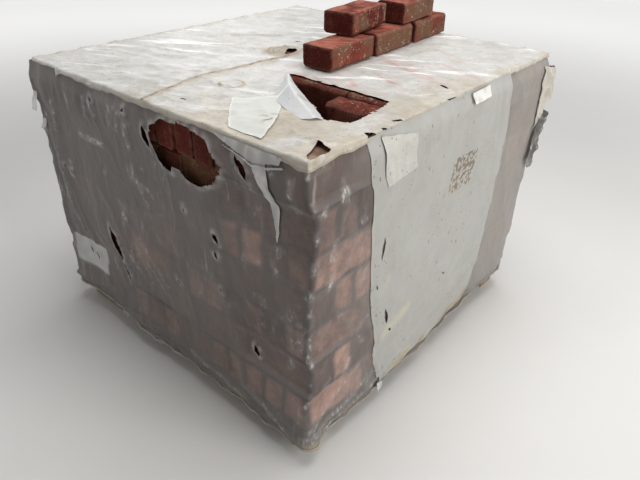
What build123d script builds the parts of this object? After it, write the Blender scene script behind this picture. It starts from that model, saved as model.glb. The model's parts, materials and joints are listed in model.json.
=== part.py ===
"""A pallet of clay bricks, laid on edge in crossed courses and wrapped in loose film.

Millimetres, +Z up, origin on the floor under the middle of the pack.
-Y is the front and +X the right side. Course 1 is the lowest.
"""
import math
import os

from build123d import *

# Brick: on edge in the pack, so that its width stands upright
BRICK_LENGTH = 210.0
BRICK_WIDTH = 102.5
BRICK_THICKNESS = 65.0
WORN_BEVEL_IN = 7.0
WORN_BEVEL_UP = 9.0

# Pack: crossed courses, bricks end to end one way and side by side the other.
# The lists run from the lowest course to the top one.
COURSE_COUNT = 7
ACROSS_BRICK_COUNT = 5
DEEP_BRICK_COUNT = 5
END_GAP_ACROSS = 1.0
END_GAP_DEEP = 15.0
LEAST_SIDE_GAP = 4.0
TOP_ROW_GAP = 0.5
BED_GAP = 0.3
BRICK_PLAY = 2.5
CORE_CLEARANCE = 3.0
WHOLE_COURSES = 2
COURSE_SHIFTS = [(-3, -9), (7, 3), (-3, -2), (1, 0), (5, 3), (9, 6), (-4, -4)]
DRAWN_IN_AT_BACK = [50, 46, 38, 28, 18, 8, 0]

# Bricks taken out of the top course, by column from the left and row from the front
TAKEN_OUT = [(2, 0), (2, 1), (3, 0), (3, 1), (4, 0)]
SLIPPED_BRICK = (4, 1)
SLIPPED_FORWARD = 17.0
SLIPPED_TURN = 4.0

# Pallet
BEARER_COUNT = 3
BEARER_WIDTH = 75.0
BEARER_HEIGHT = 95.0
DECK_BOARD_COUNT = 8
DECK_BOARD_WIDTH = 95.0
DECK_BOARD_THICKNESS = 20.0
PALLET_INSET = 12.0
TIMBER_ARRIS = 2.0

# Film wrap, and the sheets that lie on it
FILM_THICKNESS = 1.5
FILM_CLEARANCE = 2.0
SHEET_CLEARANCE = 0.3
FILM_CORNER = 6.0
FILM_DRAPE = 28.0
HEM_HEIGHT = 45.0
HEM_SPREAD = 16.0
TOP_SHEET_DROOP = 36.0
SIDE_SHEET_WIDTH = 700.0
SIDE_SHEET_BOTTOM = 62.0

# Tears and flaps of the film, in from the right edge and then in from the front or down from the top
FRONT_TEAR = [(513, 93), (447, 23), (341, 17), (283, 29), (235, 83), (281, 129),
              (321, 151), (377, 153), (415, 141), (487, 129)]
TOP_TEAR = [(421, 369), (409, 395), (89, 383), (65, 239), (75, 201), (125, 185)]
CORNER_TEAR = [(19, 8), (47, 77), (7, 65), (8, 10)]
LYING_FLAP = [(377, 147), (312, 193), (221, 130), (135, 15), (232, 19)]
FLAP_RIDGE_HEIGHT = 24.0
FLAP_RIDGE_OUT = 30.0
FLAP_FOOT_OUT = 66.0
FLAP_FOLD_SHARE = 0.82

# Loose bricks on the top sheet, in rows along its length from the back edge
LOOSE_END_GAP = 15.0
LOOSE_OVERHANG = 13.0
# Each by its middle across, brick steps in from the back, layer, turn and side up
LOOSE_BRICKS = [
    (130.0, 2.0, 0, 3.2, "worn down"),
    (117.0, 1.0, 0, 3.2, "worn up"),
    (105.0, 0.0, 0, 3.2, "worn up"),
    (83.0, 1.41, 1, 9.0, "worn down"),
    (100.0, 0.34, 1, 6.0, "worn up"),
]

# Worked out from the sizes above
PALLET_HEIGHT = BEARER_HEIGHT + DECK_BOARD_THICKNESS
COURSE_PITCH = BRICK_WIDTH + BED_GAP
PACK_WIDTH = ACROSS_BRICK_COUNT * BRICK_LENGTH + (ACROSS_BRICK_COUNT - 1) * END_GAP_ACROSS
PACK_DEPTH = DEEP_BRICK_COUNT * BRICK_LENGTH + (DEEP_BRICK_COUNT - 1) * END_GAP_DEEP
PACK_TOP = PALLET_HEIGHT + COURSE_COUNT * COURSE_PITCH
PALLET_WIDTH = PACK_WIDTH - 2 * PALLET_INSET
PALLET_DEPTH = PACK_DEPTH - DRAWN_IN_AT_BACK[0] - 2 * PALLET_INSET
PALLET_MIDDLE = -DRAWN_IN_AT_BACK[0] / 2
SHEET_UNDERSIDE = PACK_TOP + SHEET_CLEARANCE
SHEET_TOP = SHEET_UNDERSIDE + FILM_THICKNESS
SIDE_SHEET_OUT = FILM_THICKNESS + SHEET_CLEARANCE
TOP_SHEET_OUT = SIDE_SHEET_OUT + FILM_THICKNESS + SHEET_CLEARANCE


def lying_brick():
    """One brick flat on its worn bed face, its length along Y and its foot at z = 0."""
    half = BRICK_WIDTH / 2
    outline = Polyline(
        (-half + WORN_BEVEL_IN, 0),
        (half - WORN_BEVEL_IN, 0),
        (half, WORN_BEVEL_UP),
        (half, BRICK_THICKNESS),
        (-half, BRICK_THICKNESS),
        (-half, WORN_BEVEL_UP),
        close=True,
    )
    end_face = Plane.XZ * make_face(outline)
    return extrude(end_face, BRICK_LENGTH / 2, both=True).solid()


def standing_brick():
    """The same brick on edge, centred across, with its foot at z = 0."""
    centred = Pos(0, 0, -BRICK_THICKNESS / 2) * lying_brick()
    return Pos(0, 0, BRICK_WIDTH / 2) * Rot(0, 90, 0) * centred


def end_to_end(count, gap):
    """Middles of bricks laid in line."""
    step = BRICK_LENGTH + gap
    return [(index - (count - 1) / 2) * step for index in range(count)]


def side_by_side(span):
    """Middles of as many bricks as fit beside each other over a span."""
    count = int((span + LEAST_SIDE_GAP) / (BRICK_THICKNESS + LEAST_SIDE_GAP))
    step = (span - BRICK_THICKNESS) / (count - 1)
    return [(index - (count - 1) / 2) * step for index in range(count)]


def side_of(index, places):
    """-1 at the first place, 1 at the last and 0 between."""
    return (index == len(places) - 1) - (index == 0)


def looseness(course, column, row):
    """How far a brick stands out of its face, from 0 to BRICK_PLAY, in an uneven pattern."""
    return BRICK_PLAY * ((7 * course + 3 * column + 5 * row) % 5) / 4


def course_floor(course):
    return PALLET_HEIGHT + (course - 1) * COURSE_PITCH + BED_GAP


def drawn_in(course):
    """How much shorter a course is than the pack, all of it at the back."""
    return DRAWN_IN_AT_BACK[(course - 1) % len(DRAWN_IN_AT_BACK)]


def course_depth(course):
    return PACK_DEPTH - drawn_in(course)


def course_middle(course):
    shift_x, shift_y = COURSE_SHIFTS[(course - 1) % len(COURSE_SHIFTS)]
    return (shift_x, shift_y - drawn_in(course) / 2)


def course_place(course):
    return Pos(*course_middle(course), course_floor(course))


def laid_bricks(course, columns, rows, along_x, whole):
    """Bricks of one course, the outer ring alone unless the course is whole."""
    brick = standing_brick()
    bricks = []
    for column, x in enumerate(columns):
        for row, y in enumerate(rows):
            out_x = side_of(column, columns)
            out_y = side_of(row, rows)
            if not (whole or out_x or out_y):
                continue
            play = looseness(course, column, row)
            half_turn = 180 * ((course + column + row) % 3 == 0)
            turn = half_turn + (90 if along_x else 0)
            bricks.append(Pos(x + out_x * play, y + out_y * play, 0) * Rot(0, 0, turn) * brick)
    return bricks


def crossed_course(course):
    """One course with all its bricks one way: odd courses run deep, even ones across."""
    whole = course > COURSE_COUNT - WHOLE_COURSES
    if course % 2:
        columns = side_by_side(PACK_WIDTH)
        rows = end_to_end(DEEP_BRICK_COUNT, END_GAP_DEEP - drawn_in(course) / (DEEP_BRICK_COUNT - 1))
    else:
        columns = end_to_end(ACROSS_BRICK_COUNT, END_GAP_ACROSS)
        rows = side_by_side(course_depth(course))
    bricks = laid_bricks(course, columns, rows, course % 2 == 0, whole)
    return [course_place(course) * brick for brick in bricks]


def top_course():
    """The top course: rows of ends at front and back, and bricks across between them."""
    columns = side_by_side(PACK_WIDTH)
    rows = end_to_end(DEEP_BRICK_COUNT, END_GAP_DEEP)
    outer_rows = [rows[0], rows[-1]]
    bricks = laid_bricks(COURSE_COUNT, columns, outer_rows, False, True)
    inner_depth = PACK_DEPTH - 2 * BRICK_LENGTH
    step = BRICK_THICKNESS + TOP_ROW_GAP
    row_count = int((inner_depth - TOP_ROW_GAP) / step)
    brick = standing_brick()
    for column, x in enumerate(end_to_end(ACROSS_BRICK_COUNT, END_GAP_ACROSS)):
        for row in range(row_count):
            if (column, row) in TAKEN_OUT:
                continue
            y = inner_depth / 2 - (row_count - row) * step + BRICK_THICKNESS / 2
            turn = 90
            if (column, row) == SLIPPED_BRICK:
                y = y - SLIPPED_FORWARD
                turn = 90 + SLIPPED_TURN
            bricks.append(Pos(x, y, 0) * Rot(0, 0, turn) * brick)
    return [course_place(COURSE_COUNT) * brick for brick in bricks]


def course_core(course):
    """The bricks inside a course's outer ring, as one block."""
    across_ring = BRICK_THICKNESS if course % 2 else BRICK_LENGTH
    deep_ring = BRICK_LENGTH if course % 2 else BRICK_THICKNESS
    width = PACK_WIDTH - 2 * (across_ring + CORE_CLEARANCE)
    depth = course_depth(course) - 2 * (deep_ring + CORE_CLEARANCE)
    block = Box(width, depth, BRICK_WIDTH, align=(Align.CENTER, Align.CENTER, Align.MIN))
    return course_place(course) * block


def timber(length_x, length_y, height):
    """A sawn piece with its long edges eased, its foot at z = 0."""
    piece = Box(length_x, length_y, height, align=(Align.CENTER, Align.CENTER, Align.MIN))
    along = Axis.X if length_x > length_y else Axis.Y
    return chamfer(piece.edges().filter_by(along), TIMBER_ARRIS)


def bearer_places():
    step = (PALLET_DEPTH - BEARER_WIDTH) / (BEARER_COUNT - 1)
    return [PALLET_MIDDLE + (index - (BEARER_COUNT - 1) / 2) * step for index in range(BEARER_COUNT)]


def bearers():
    piece = timber(PALLET_WIDTH, BEARER_WIDTH, BEARER_HEIGHT)
    return [Pos(0, y, 0) * piece for y in bearer_places()]


def deck_boards():
    piece = timber(DECK_BOARD_WIDTH, PALLET_DEPTH, DECK_BOARD_THICKNESS)
    step = (PALLET_WIDTH - DECK_BOARD_WIDTH) / (DECK_BOARD_COUNT - 1)
    places = [(index - (DECK_BOARD_COUNT - 1) / 2) * step for index in range(DECK_BOARD_COUNT)]
    return [Pos(x, PALLET_MIDDLE, BEARER_HEIGHT) * piece for x in places]


def course_rectangle(course):
    """Low and high corners of the film's inner face round one course."""
    x, y = course_middle(course)
    half_x = PACK_WIDTH / 2 + BRICK_PLAY + FILM_CLEARANCE
    half_y = course_depth(course) / 2 + BRICK_PLAY + FILM_CLEARANCE
    return (x - half_x, y - half_y, x + half_x, y + half_y)


def around_both(one, other):
    lows = [min(a, b) for a, b in zip(one[:2], other[:2])]
    highs = [max(a, b) for a, b in zip(one[2:], other[2:])]
    return (*lows, *highs)


def hem_rectangle():
    half_x = PACK_WIDTH / 2 + HEM_SPREAD - FILM_THICKNESS
    half_y = PACK_DEPTH / 2 + HEM_SPREAD - FILM_THICKNESS
    return (-half_x, -half_y, half_x, half_y - DRAWN_IN_AT_BACK[0])


def film_levels(reach):
    """Heights and rectangles of the film from top to hem, each end passed by reach."""
    levels = [(SHEET_UNDERSIDE - SHEET_CLEARANCE + reach, course_rectangle(COURSE_COUNT))]
    for course in range(COURSE_COUNT - 1, 0, -1):
        joint = PALLET_HEIGHT + course * COURSE_PITCH
        upper = course_rectangle(course + 1)
        lower = course_rectangle(course)
        levels.append((joint + FILM_DRAPE, upper))
        levels.append((joint, around_both(upper, lower)))
        levels.append((joint - FILM_DRAPE, lower))
    levels.append((PALLET_HEIGHT, course_rectangle(1)))
    levels.append((HEM_HEIGHT, hem_rectangle()))
    if reach:
        levels.append((HEM_HEIGHT - reach, hem_rectangle()))
    return levels


def draped_solid(out, reach=0.0):
    """The space inside the film's inner face, made larger by out on every side."""
    sections = []
    for height, (low_x, low_y, high_x, high_y) in film_levels(reach):
        outline = RectangleRounded(high_x - low_x + 2 * out, high_y - low_y + 2 * out, FILM_CORNER + out)
        sections.append(Pos((low_x + high_x) / 2, (low_y + high_y) / 2, height) * outline)
    return loft(sections, ruled=True)


def draped_shell(out):
    """A film that hangs round all four sides, its inner face out from the innermost one."""
    return draped_solid(out + FILM_THICKNESS) - draped_solid(out, FILM_THICKNESS)


def block_between(low, high):
    size = [b - a for a, b in zip(low, high)]
    return Pos(*low) * Box(*size, align=(Align.MIN, Align.MIN, Align.MIN))


def on_top(points):
    """Points of the top, given in from the right edge and in from the front, as x and y."""
    return [(PACK_WIDTH / 2 - inward, back - PACK_DEPTH / 2) for inward, back in points]


def on_front(points):
    """Points of the front, given in from the right edge and down from the top, as x and z."""
    return [(PACK_WIDTH / 2 - inward, PACK_TOP - down) for inward, down in points]


def tear_cutter(points, plane, reach):
    """A prism through the film, from a tear's outline on a plane."""
    return extrude(plane * make_face(Polyline(*points, close=True)), reach, both=True)


def film_wrap(shell):
    """The film round the pack, down to the deck, with the tear in its front."""
    wide = PACK_WIDTH + PACK_DEPTH
    above_bearers = block_between((-wide, -wide, BEARER_HEIGHT), (wide, wide, PACK_TOP + wide))
    front = Plane.XZ.offset(PACK_DEPTH / 2)
    return (shell & above_bearers) - tear_cutter(on_front(FRONT_TEAR), front, BRICK_THICKNESS)


def skirts(shell):
    """The film below the deck, by side: whole on three, and on the left only at the bearers."""
    wide = PACK_WIDTH + PACK_DEPTH
    side = PALLET_WIDTH / 2
    front = PALLET_MIDDLE - PALLET_DEPTH / 2
    back = PALLET_MIDDLE + PALLET_DEPTH / 2
    half_bearer = BEARER_WIDTH / 2
    spans = {
        "film_skirt_front": [(-side, -wide, side, front)],
        "film_skirt_back": [(-side, back, side, wide)],
        "film_skirt_right": [(side, front, wide, back)],
        "film_skirt_left": [(-wide, y - half_bearer, -side, y + half_bearer) for y in bearer_places()],
        "film_skirt_corners": [
            (low_x, low_y, high_x, high_y)
            for low_x, high_x in ((-wide, -side), (side, wide))
            for low_y, high_y in ((-wide, front), (back, wide))
        ],
    }
    return {
        name: [shell & block_between((*span[:2], 0), (*span[2:], BEARER_HEIGHT)) for span in pieces]
        for name, pieces in spans.items()
    }


def top_sheet():
    """The white sheet over the top, its edges drooping outside the film."""
    low_x, low_y, high_x, high_y = course_rectangle(COURSE_COUNT)
    centre = ((low_x + high_x) / 2, (low_y + high_y) / 2)
    width = high_x - low_x + 2 * TOP_SHEET_OUT
    depth = high_y - low_y + 2 * TOP_SHEET_OUT
    inner = RectangleRounded(width, depth, FILM_CORNER + TOP_SHEET_OUT)
    outer_radius = FILM_CORNER + TOP_SHEET_OUT + FILM_THICKNESS
    outer = RectangleRounded(width + 2 * FILM_THICKNESS, depth + 2 * FILM_THICKNESS, outer_radius)
    hanging = Pos(*centre, SHEET_TOP) * extrude(outer, -TOP_SHEET_DROOP)
    hollow = Pos(*centre, SHEET_UNDERSIDE) * extrude(inner, -TOP_SHEET_DROOP)
    level = Plane.XY.offset(SHEET_TOP)
    sheet = hanging - hollow
    for points in (TOP_TEAR, CORNER_TEAR):
        sheet = sheet - tear_cutter(on_top(points), level, 2 * FILM_THICKNESS)
    return sheet


def side_sheet():
    """The white sheet down the right side, from under the top sheet's edge."""
    wide = PACK_WIDTH + PACK_DEPTH
    half = SIDE_SHEET_WIDTH / 2
    right = block_between((0, -half, SIDE_SHEET_BOTTOM), (wide, half, PACK_TOP))
    return draped_shell(SIDE_SHEET_OUT) & right


def lying_flap():
    """A torn piece of film flat on the top sheet."""
    level = Plane.XY.offset(SHEET_TOP + SHEET_CLEARANCE)
    return extrude(level * make_face(Polyline(*on_top(LYING_FLAP), close=True)), FILM_THICKNESS)


def turned_flap():
    """The film torn from the opening, turned back along its left edge in a ridge."""
    edge = on_top(TOP_TEAR)
    start, end = edge[0], edge[-1]
    run = math.dist(start, end)
    along = ((end[0] - start[0]) / run, (end[1] - start[1]) / run, 0)
    away = (along[1], -along[0], 0)
    foot = SHEET_CLEARANCE
    rise = FLAP_RIDGE_HEIGHT
    near_wall = FILM_THICKNESS * math.hypot(rise, FLAP_RIDGE_OUT) / rise
    far_wall = FILM_THICKNESS * math.hypot(rise, FLAP_FOOT_OUT - FLAP_RIDGE_OUT) / rise
    profile = Polyline(
        (0, foot),
        (near_wall, foot),
        (FLAP_RIDGE_OUT, rise - 2 * FILM_THICKNESS),
        (FLAP_FOOT_OUT - far_wall, foot),
        (FLAP_FOOT_OUT, foot),
        (FLAP_RIDGE_OUT, rise),
        close=True,
    )
    across = Plane(origin=(*start, SHEET_TOP), x_dir=away, z_dir=(-along[0], -along[1], 0))
    return extrude(across * make_face(profile), -run * FLAP_FOLD_SHARE)


def loose_bricks():
    """The bricks that lie on the top sheet, in two layers along the pack's depth."""
    step = BRICK_LENGTH + LOOSE_END_GAP
    last = PACK_DEPTH / 2 + LOOSE_OVERHANG - BRICK_LENGTH / 2
    bricks = []
    for x, steps_in, layer, turn, side in LOOSE_BRICKS:
        brick = lying_brick()
        if side == "worn up":
            brick = Pos(0, 0, BRICK_THICKNESS) * Rot(0, 180, 0) * brick
        height = SHEET_TOP + SHEET_CLEARANCE + layer * (BRICK_THICKNESS + BED_GAP)
        bricks.append(Pos(x, last - steps_in * step, height) * Rot(0, 0, turn) * brick)
    return bricks


def build_nodes():
    """Every node's solids by name."""
    nodes = {}
    for index, piece in enumerate(bearers(), 1):
        nodes[f"pallet_bearer_{index}"] = [piece]
    for index, piece in enumerate(deck_boards(), 1):
        nodes[f"deck_board_{index}"] = [piece]
    for course in range(1, COURSE_COUNT):
        nodes[f"course_{course}"] = crossed_course(course)
        if course <= COURSE_COUNT - WHOLE_COURSES:
            nodes[f"course_{course}_core"] = [course_core(course)]
    nodes[f"course_{COURSE_COUNT}"] = top_course()
    for index, brick in enumerate(loose_bricks(), 1):
        nodes[f"loose_brick_{index}"] = [brick]
    shell = draped_shell(0)
    nodes["film_wrap"] = [film_wrap(shell)]
    nodes.update(skirts(shell))
    nodes["top_sheet"] = [top_sheet()]
    nodes["side_sheet"] = [side_sheet()]
    nodes["lying_flap"] = [lying_flap()]
    nodes["turned_flap"] = [turned_flap()]
    return nodes


def main():
    os.makedirs("parts", exist_ok=True)
    for name, pieces in build_nodes().items():
        solids = [solid for piece in pieces for solid in piece.solids()]
        node = solids[0] if len(solids) == 1 else Compound(children=solids)
        node.label = name
        export_step(node, f"parts/{name}.step")


main()
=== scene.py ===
"""A pallet of clay bricks in torn, dirty film: its finishes, film, white sheets and worn bricks.

Metres, +Z up, the origin on the floor under the middle of the pack. -Y is the front, +X the right.
"""

import json
import logging
import math
from dataclasses import dataclass, field
from enum import Enum
from functools import cached_property, partial
from typing import Any, Callable, Optional, Sequence, Union

import bmesh
import bpy
from mathutils import Matrix, Vector, noise

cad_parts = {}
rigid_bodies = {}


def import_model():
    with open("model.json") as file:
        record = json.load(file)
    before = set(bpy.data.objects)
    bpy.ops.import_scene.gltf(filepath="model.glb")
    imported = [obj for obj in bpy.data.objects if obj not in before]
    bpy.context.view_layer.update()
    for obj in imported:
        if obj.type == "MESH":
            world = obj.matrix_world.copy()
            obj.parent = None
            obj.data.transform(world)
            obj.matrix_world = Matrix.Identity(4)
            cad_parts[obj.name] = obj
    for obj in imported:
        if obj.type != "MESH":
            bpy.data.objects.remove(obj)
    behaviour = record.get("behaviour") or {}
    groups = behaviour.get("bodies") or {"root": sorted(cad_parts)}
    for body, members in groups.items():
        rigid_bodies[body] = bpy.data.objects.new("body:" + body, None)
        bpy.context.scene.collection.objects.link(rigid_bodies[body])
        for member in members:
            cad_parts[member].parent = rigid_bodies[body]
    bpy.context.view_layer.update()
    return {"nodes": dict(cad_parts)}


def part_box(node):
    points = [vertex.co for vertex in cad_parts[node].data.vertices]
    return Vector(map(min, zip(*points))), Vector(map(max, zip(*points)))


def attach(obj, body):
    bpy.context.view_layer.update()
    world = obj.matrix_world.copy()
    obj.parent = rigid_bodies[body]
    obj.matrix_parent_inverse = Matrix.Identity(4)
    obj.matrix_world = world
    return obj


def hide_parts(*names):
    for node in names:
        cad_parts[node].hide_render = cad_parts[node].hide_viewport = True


LOG = logging.getLogger("pallet_of_bricks")
SLIT_STEP = 0.003
CUT_MARGIN = 0.003

Triple = tuple[float, float, float]
Colour = Triple
Point = tuple[float, float]
Points = Sequence[Point]
Stroke = tuple[Point, Point, float]
Fold = tuple[Point, Point, float, float]
Value = Union["Wire", float, Colour]
Node = bpy.types.Node
Material = bpy.types.Material
Piece = bpy.types.Object


class Wire:
    """An output socket of a material's nodes that adds and multiplies like a number."""

    def __init__(self, graph: "Graph", socket: bpy.types.NodeSocket) -> None:
        """Keep the socket and the graph that it belongs to."""
        self.graph = graph
        self.socket = socket

    def __add__(self, other: Value) -> "Wire":
        """Sum of two values."""
        return self.graph.math("ADD", self, other)

    def __sub__(self, other: Value) -> "Wire":
        """Difference of two values."""
        return self.graph.math("SUBTRACT", self, other)

    def __rsub__(self, other: Value) -> "Wire":
        """A value less this one."""
        return self.graph.math("SUBTRACT", other, self)

    def __mul__(self, other: Value) -> "Wire":
        """Product of two values."""
        return self.graph.math("MULTIPLY", self, other)

    __radd__ = __add__
    __rmul__ = __mul__


class Graph:
    """The nodes of one material, ending in a Principled shader."""

    def __init__(self, name: str) -> None:
        """Make a material of that name with a bare shader.

        Args:
            name: the material's name.
        """
        self.material = bpy.data.materials.new(name)
        self.material.use_nodes = True
        self.tree = self.material.node_tree
        self.shader = self.tree.nodes["Principled BSDF"]
        self.place = Wire(self, self.node("ShaderNodeTexCoord").outputs["Object"])
        self.colour: Value = (0.5, 0.5, 0.5)

    def node(self, kind: str, settings: Optional[dict] = None, inputs: Optional[dict] = None) -> Node:
        """Add a node.

        Args:
            kind: its type.
            settings: its properties by name.
            inputs: values or wires by socket name or number.

        Returns:
            The node.
        """
        node = self.tree.nodes.new(kind)
        for name, value in (settings or {}).items():
            setattr(node, name, value)
        for name, value in (inputs or {}).items():
            self.feed(node.inputs[name], value)
        return node

    def feed(self, socket: bpy.types.NodeSocket, value: Value) -> None:
        """Link a wire to a socket, or set the socket's own value.

        Args:
            socket: a node's input.
            value: a wire, or a number, colour or vector.
        """
        if isinstance(value, Wire):
            self.tree.links.new(value.socket, socket)
        elif isinstance(value, tuple) and socket.type == "RGBA":
            socket.default_value = (*value, 1.0)
        else:
            socket.default_value = value

    def math(self, operation: str, *values: Value) -> Wire:
        """One Math node, its inputs in order."""
        node = self.node("ShaderNodeMath", {"operation": operation}, dict(enumerate(values)))
        return Wire(self, node.outputs[0])

    def grown(self, source: Node, size: Triple) -> Wire:
        """A node's coordinates times a size for each axis."""
        sides = {0: Wire(self, source.outputs[0]), 1: size}
        return Wire(self, self.node("ShaderNodeVectorMath", {"operation": "MULTIPLY"}, sides).outputs[0])

    def scaled(self, size: Triple, offset: Triple = (0, 0, 0)) -> Wire:
        """Object coordinates times a size for each axis, after an offset."""
        moved = self.node("ShaderNodeVectorMath", {"operation": "ADD"}, {0: self.place, 1: offset})
        return self.grown(moved, size)

    def turned(self, degrees: float, size: Triple) -> Wire:
        """Object coordinates turned about Z, then times a size for each axis."""
        inputs = {"Vector": self.place, "Rotation": (0.0, 0.0, math.radians(degrees))}
        return self.grown(self.node("ShaderNodeMapping", None, inputs), size)

    def noise(
        self, scale: float, detail: float = 4, roughness: float = 0.55, place: Optional[Wire] = None
    ) -> Wire:
        """Soft noise about 0.5, by its cells to the metre, its finer layers and their weight."""
        inputs = {"Vector": place or self.place, "Scale": scale, "Detail": detail, "Roughness": roughness}
        return Wire(self, self.node("ShaderNodeTexNoise", None, inputs).outputs["Fac"])

    def cells(self, scale: float, place: Optional[Wire] = None, scatter: float = 1.0) -> Wire:
        """Distance from the nearest cell's middle, by cells to the metre; scatter 0 is a lattice."""
        inputs = {"Vector": place or self.place, "Scale": scale, "Randomness": scatter}
        return Wire(self, self.node("ShaderNodeTexVoronoi", None, inputs).outputs["Distance"])

    def step(self, value: Value, low: float, high: float) -> Wire:
        """A smooth step from 0 at low to 1 at high.

        Args:
            value: what is measured.
            low: where the step is 0.
            high: where it is 1, which may be below low.

        Returns:
            The step.
        """
        node = self.node(
            "ShaderNodeMapRange",
            {"interpolation_type": "SMOOTHSTEP"},
            {"Value": value, "From Min": min(low, high), "From Max": max(low, high)},
        )
        wire = Wire(self, node.outputs["Result"])
        return wire if low < high else 1.0 - wire

    def mix(self, share: Value, first: Value, second: Value) -> Wire:
        """One colour into another by a share from 0 to 1."""
        node = self.node("ShaderNodeMix", {"data_type": "RGBA"}, {0: share, 6: first, 7: second})
        return Wire(self, node.outputs[2])

    def coat(self, share: Value, colour: Value) -> None:
        """Lay a colour over the finish so far by a share from 0 to 1."""
        self.colour = self.mix(share, self.colour, colour)

    def most(self, first: Value, second: Value) -> Wire:
        """The larger of two values."""
        return self.math("MAXIMUM", first, second)

    def axes(self) -> list[Wire]:
        """Object coordinates as one value for each axis."""
        split = self.node("ShaderNodeSeparateXYZ", None, {0: self.place})
        return [Wire(self, output) for output in split.outputs]

    def attributes(self, *names: str) -> list[Wire]:
        """Values stored on the mesh's points."""
        nodes = [self.node("ShaderNodeAttribute", {"attribute_name": name}) for name in names]
        return [Wire(self, node.outputs["Fac"]) for node in nodes]

    def crumple(self, scale: float, place: Optional[Wire] = None) -> Wire:
        """Ridged noise, like the creases of crumpled film."""
        centred = self.noise(scale, 3, 0.5, place) - 0.5
        return 1.0 - self.math("ABSOLUTE", centred) * 4.0

    def bump(self, height: Wire, distance: float) -> None:
        """Send a height, where 1 stands for a distance in metres, to the shader's normal."""
        node = self.node("ShaderNodeBump", None, {"Height": height, "Distance": distance, "Strength": 1.0})
        self.tree.links.new(node.outputs["Normal"], self.shader.inputs["Normal"])

    def finish(self, **values: Value) -> Material:
        """Set the shader's colour and its other sockets.

        Args:
            values: numbers or wires by socket, with underscores for spaces.

        Returns:
            The material.
        """
        self.feed(self.shader.inputs["Base Color"], self.colour)
        for name, value in values.items():
            self.feed(self.shader.inputs[name.replace("_", " ")], value)
        return self.material


class Tone(Enum):
    """Where a brick's own shade comes from."""

    CELLS = "a lattice of the course's pitch"
    POINTS = "a value on the mesh's points"


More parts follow.
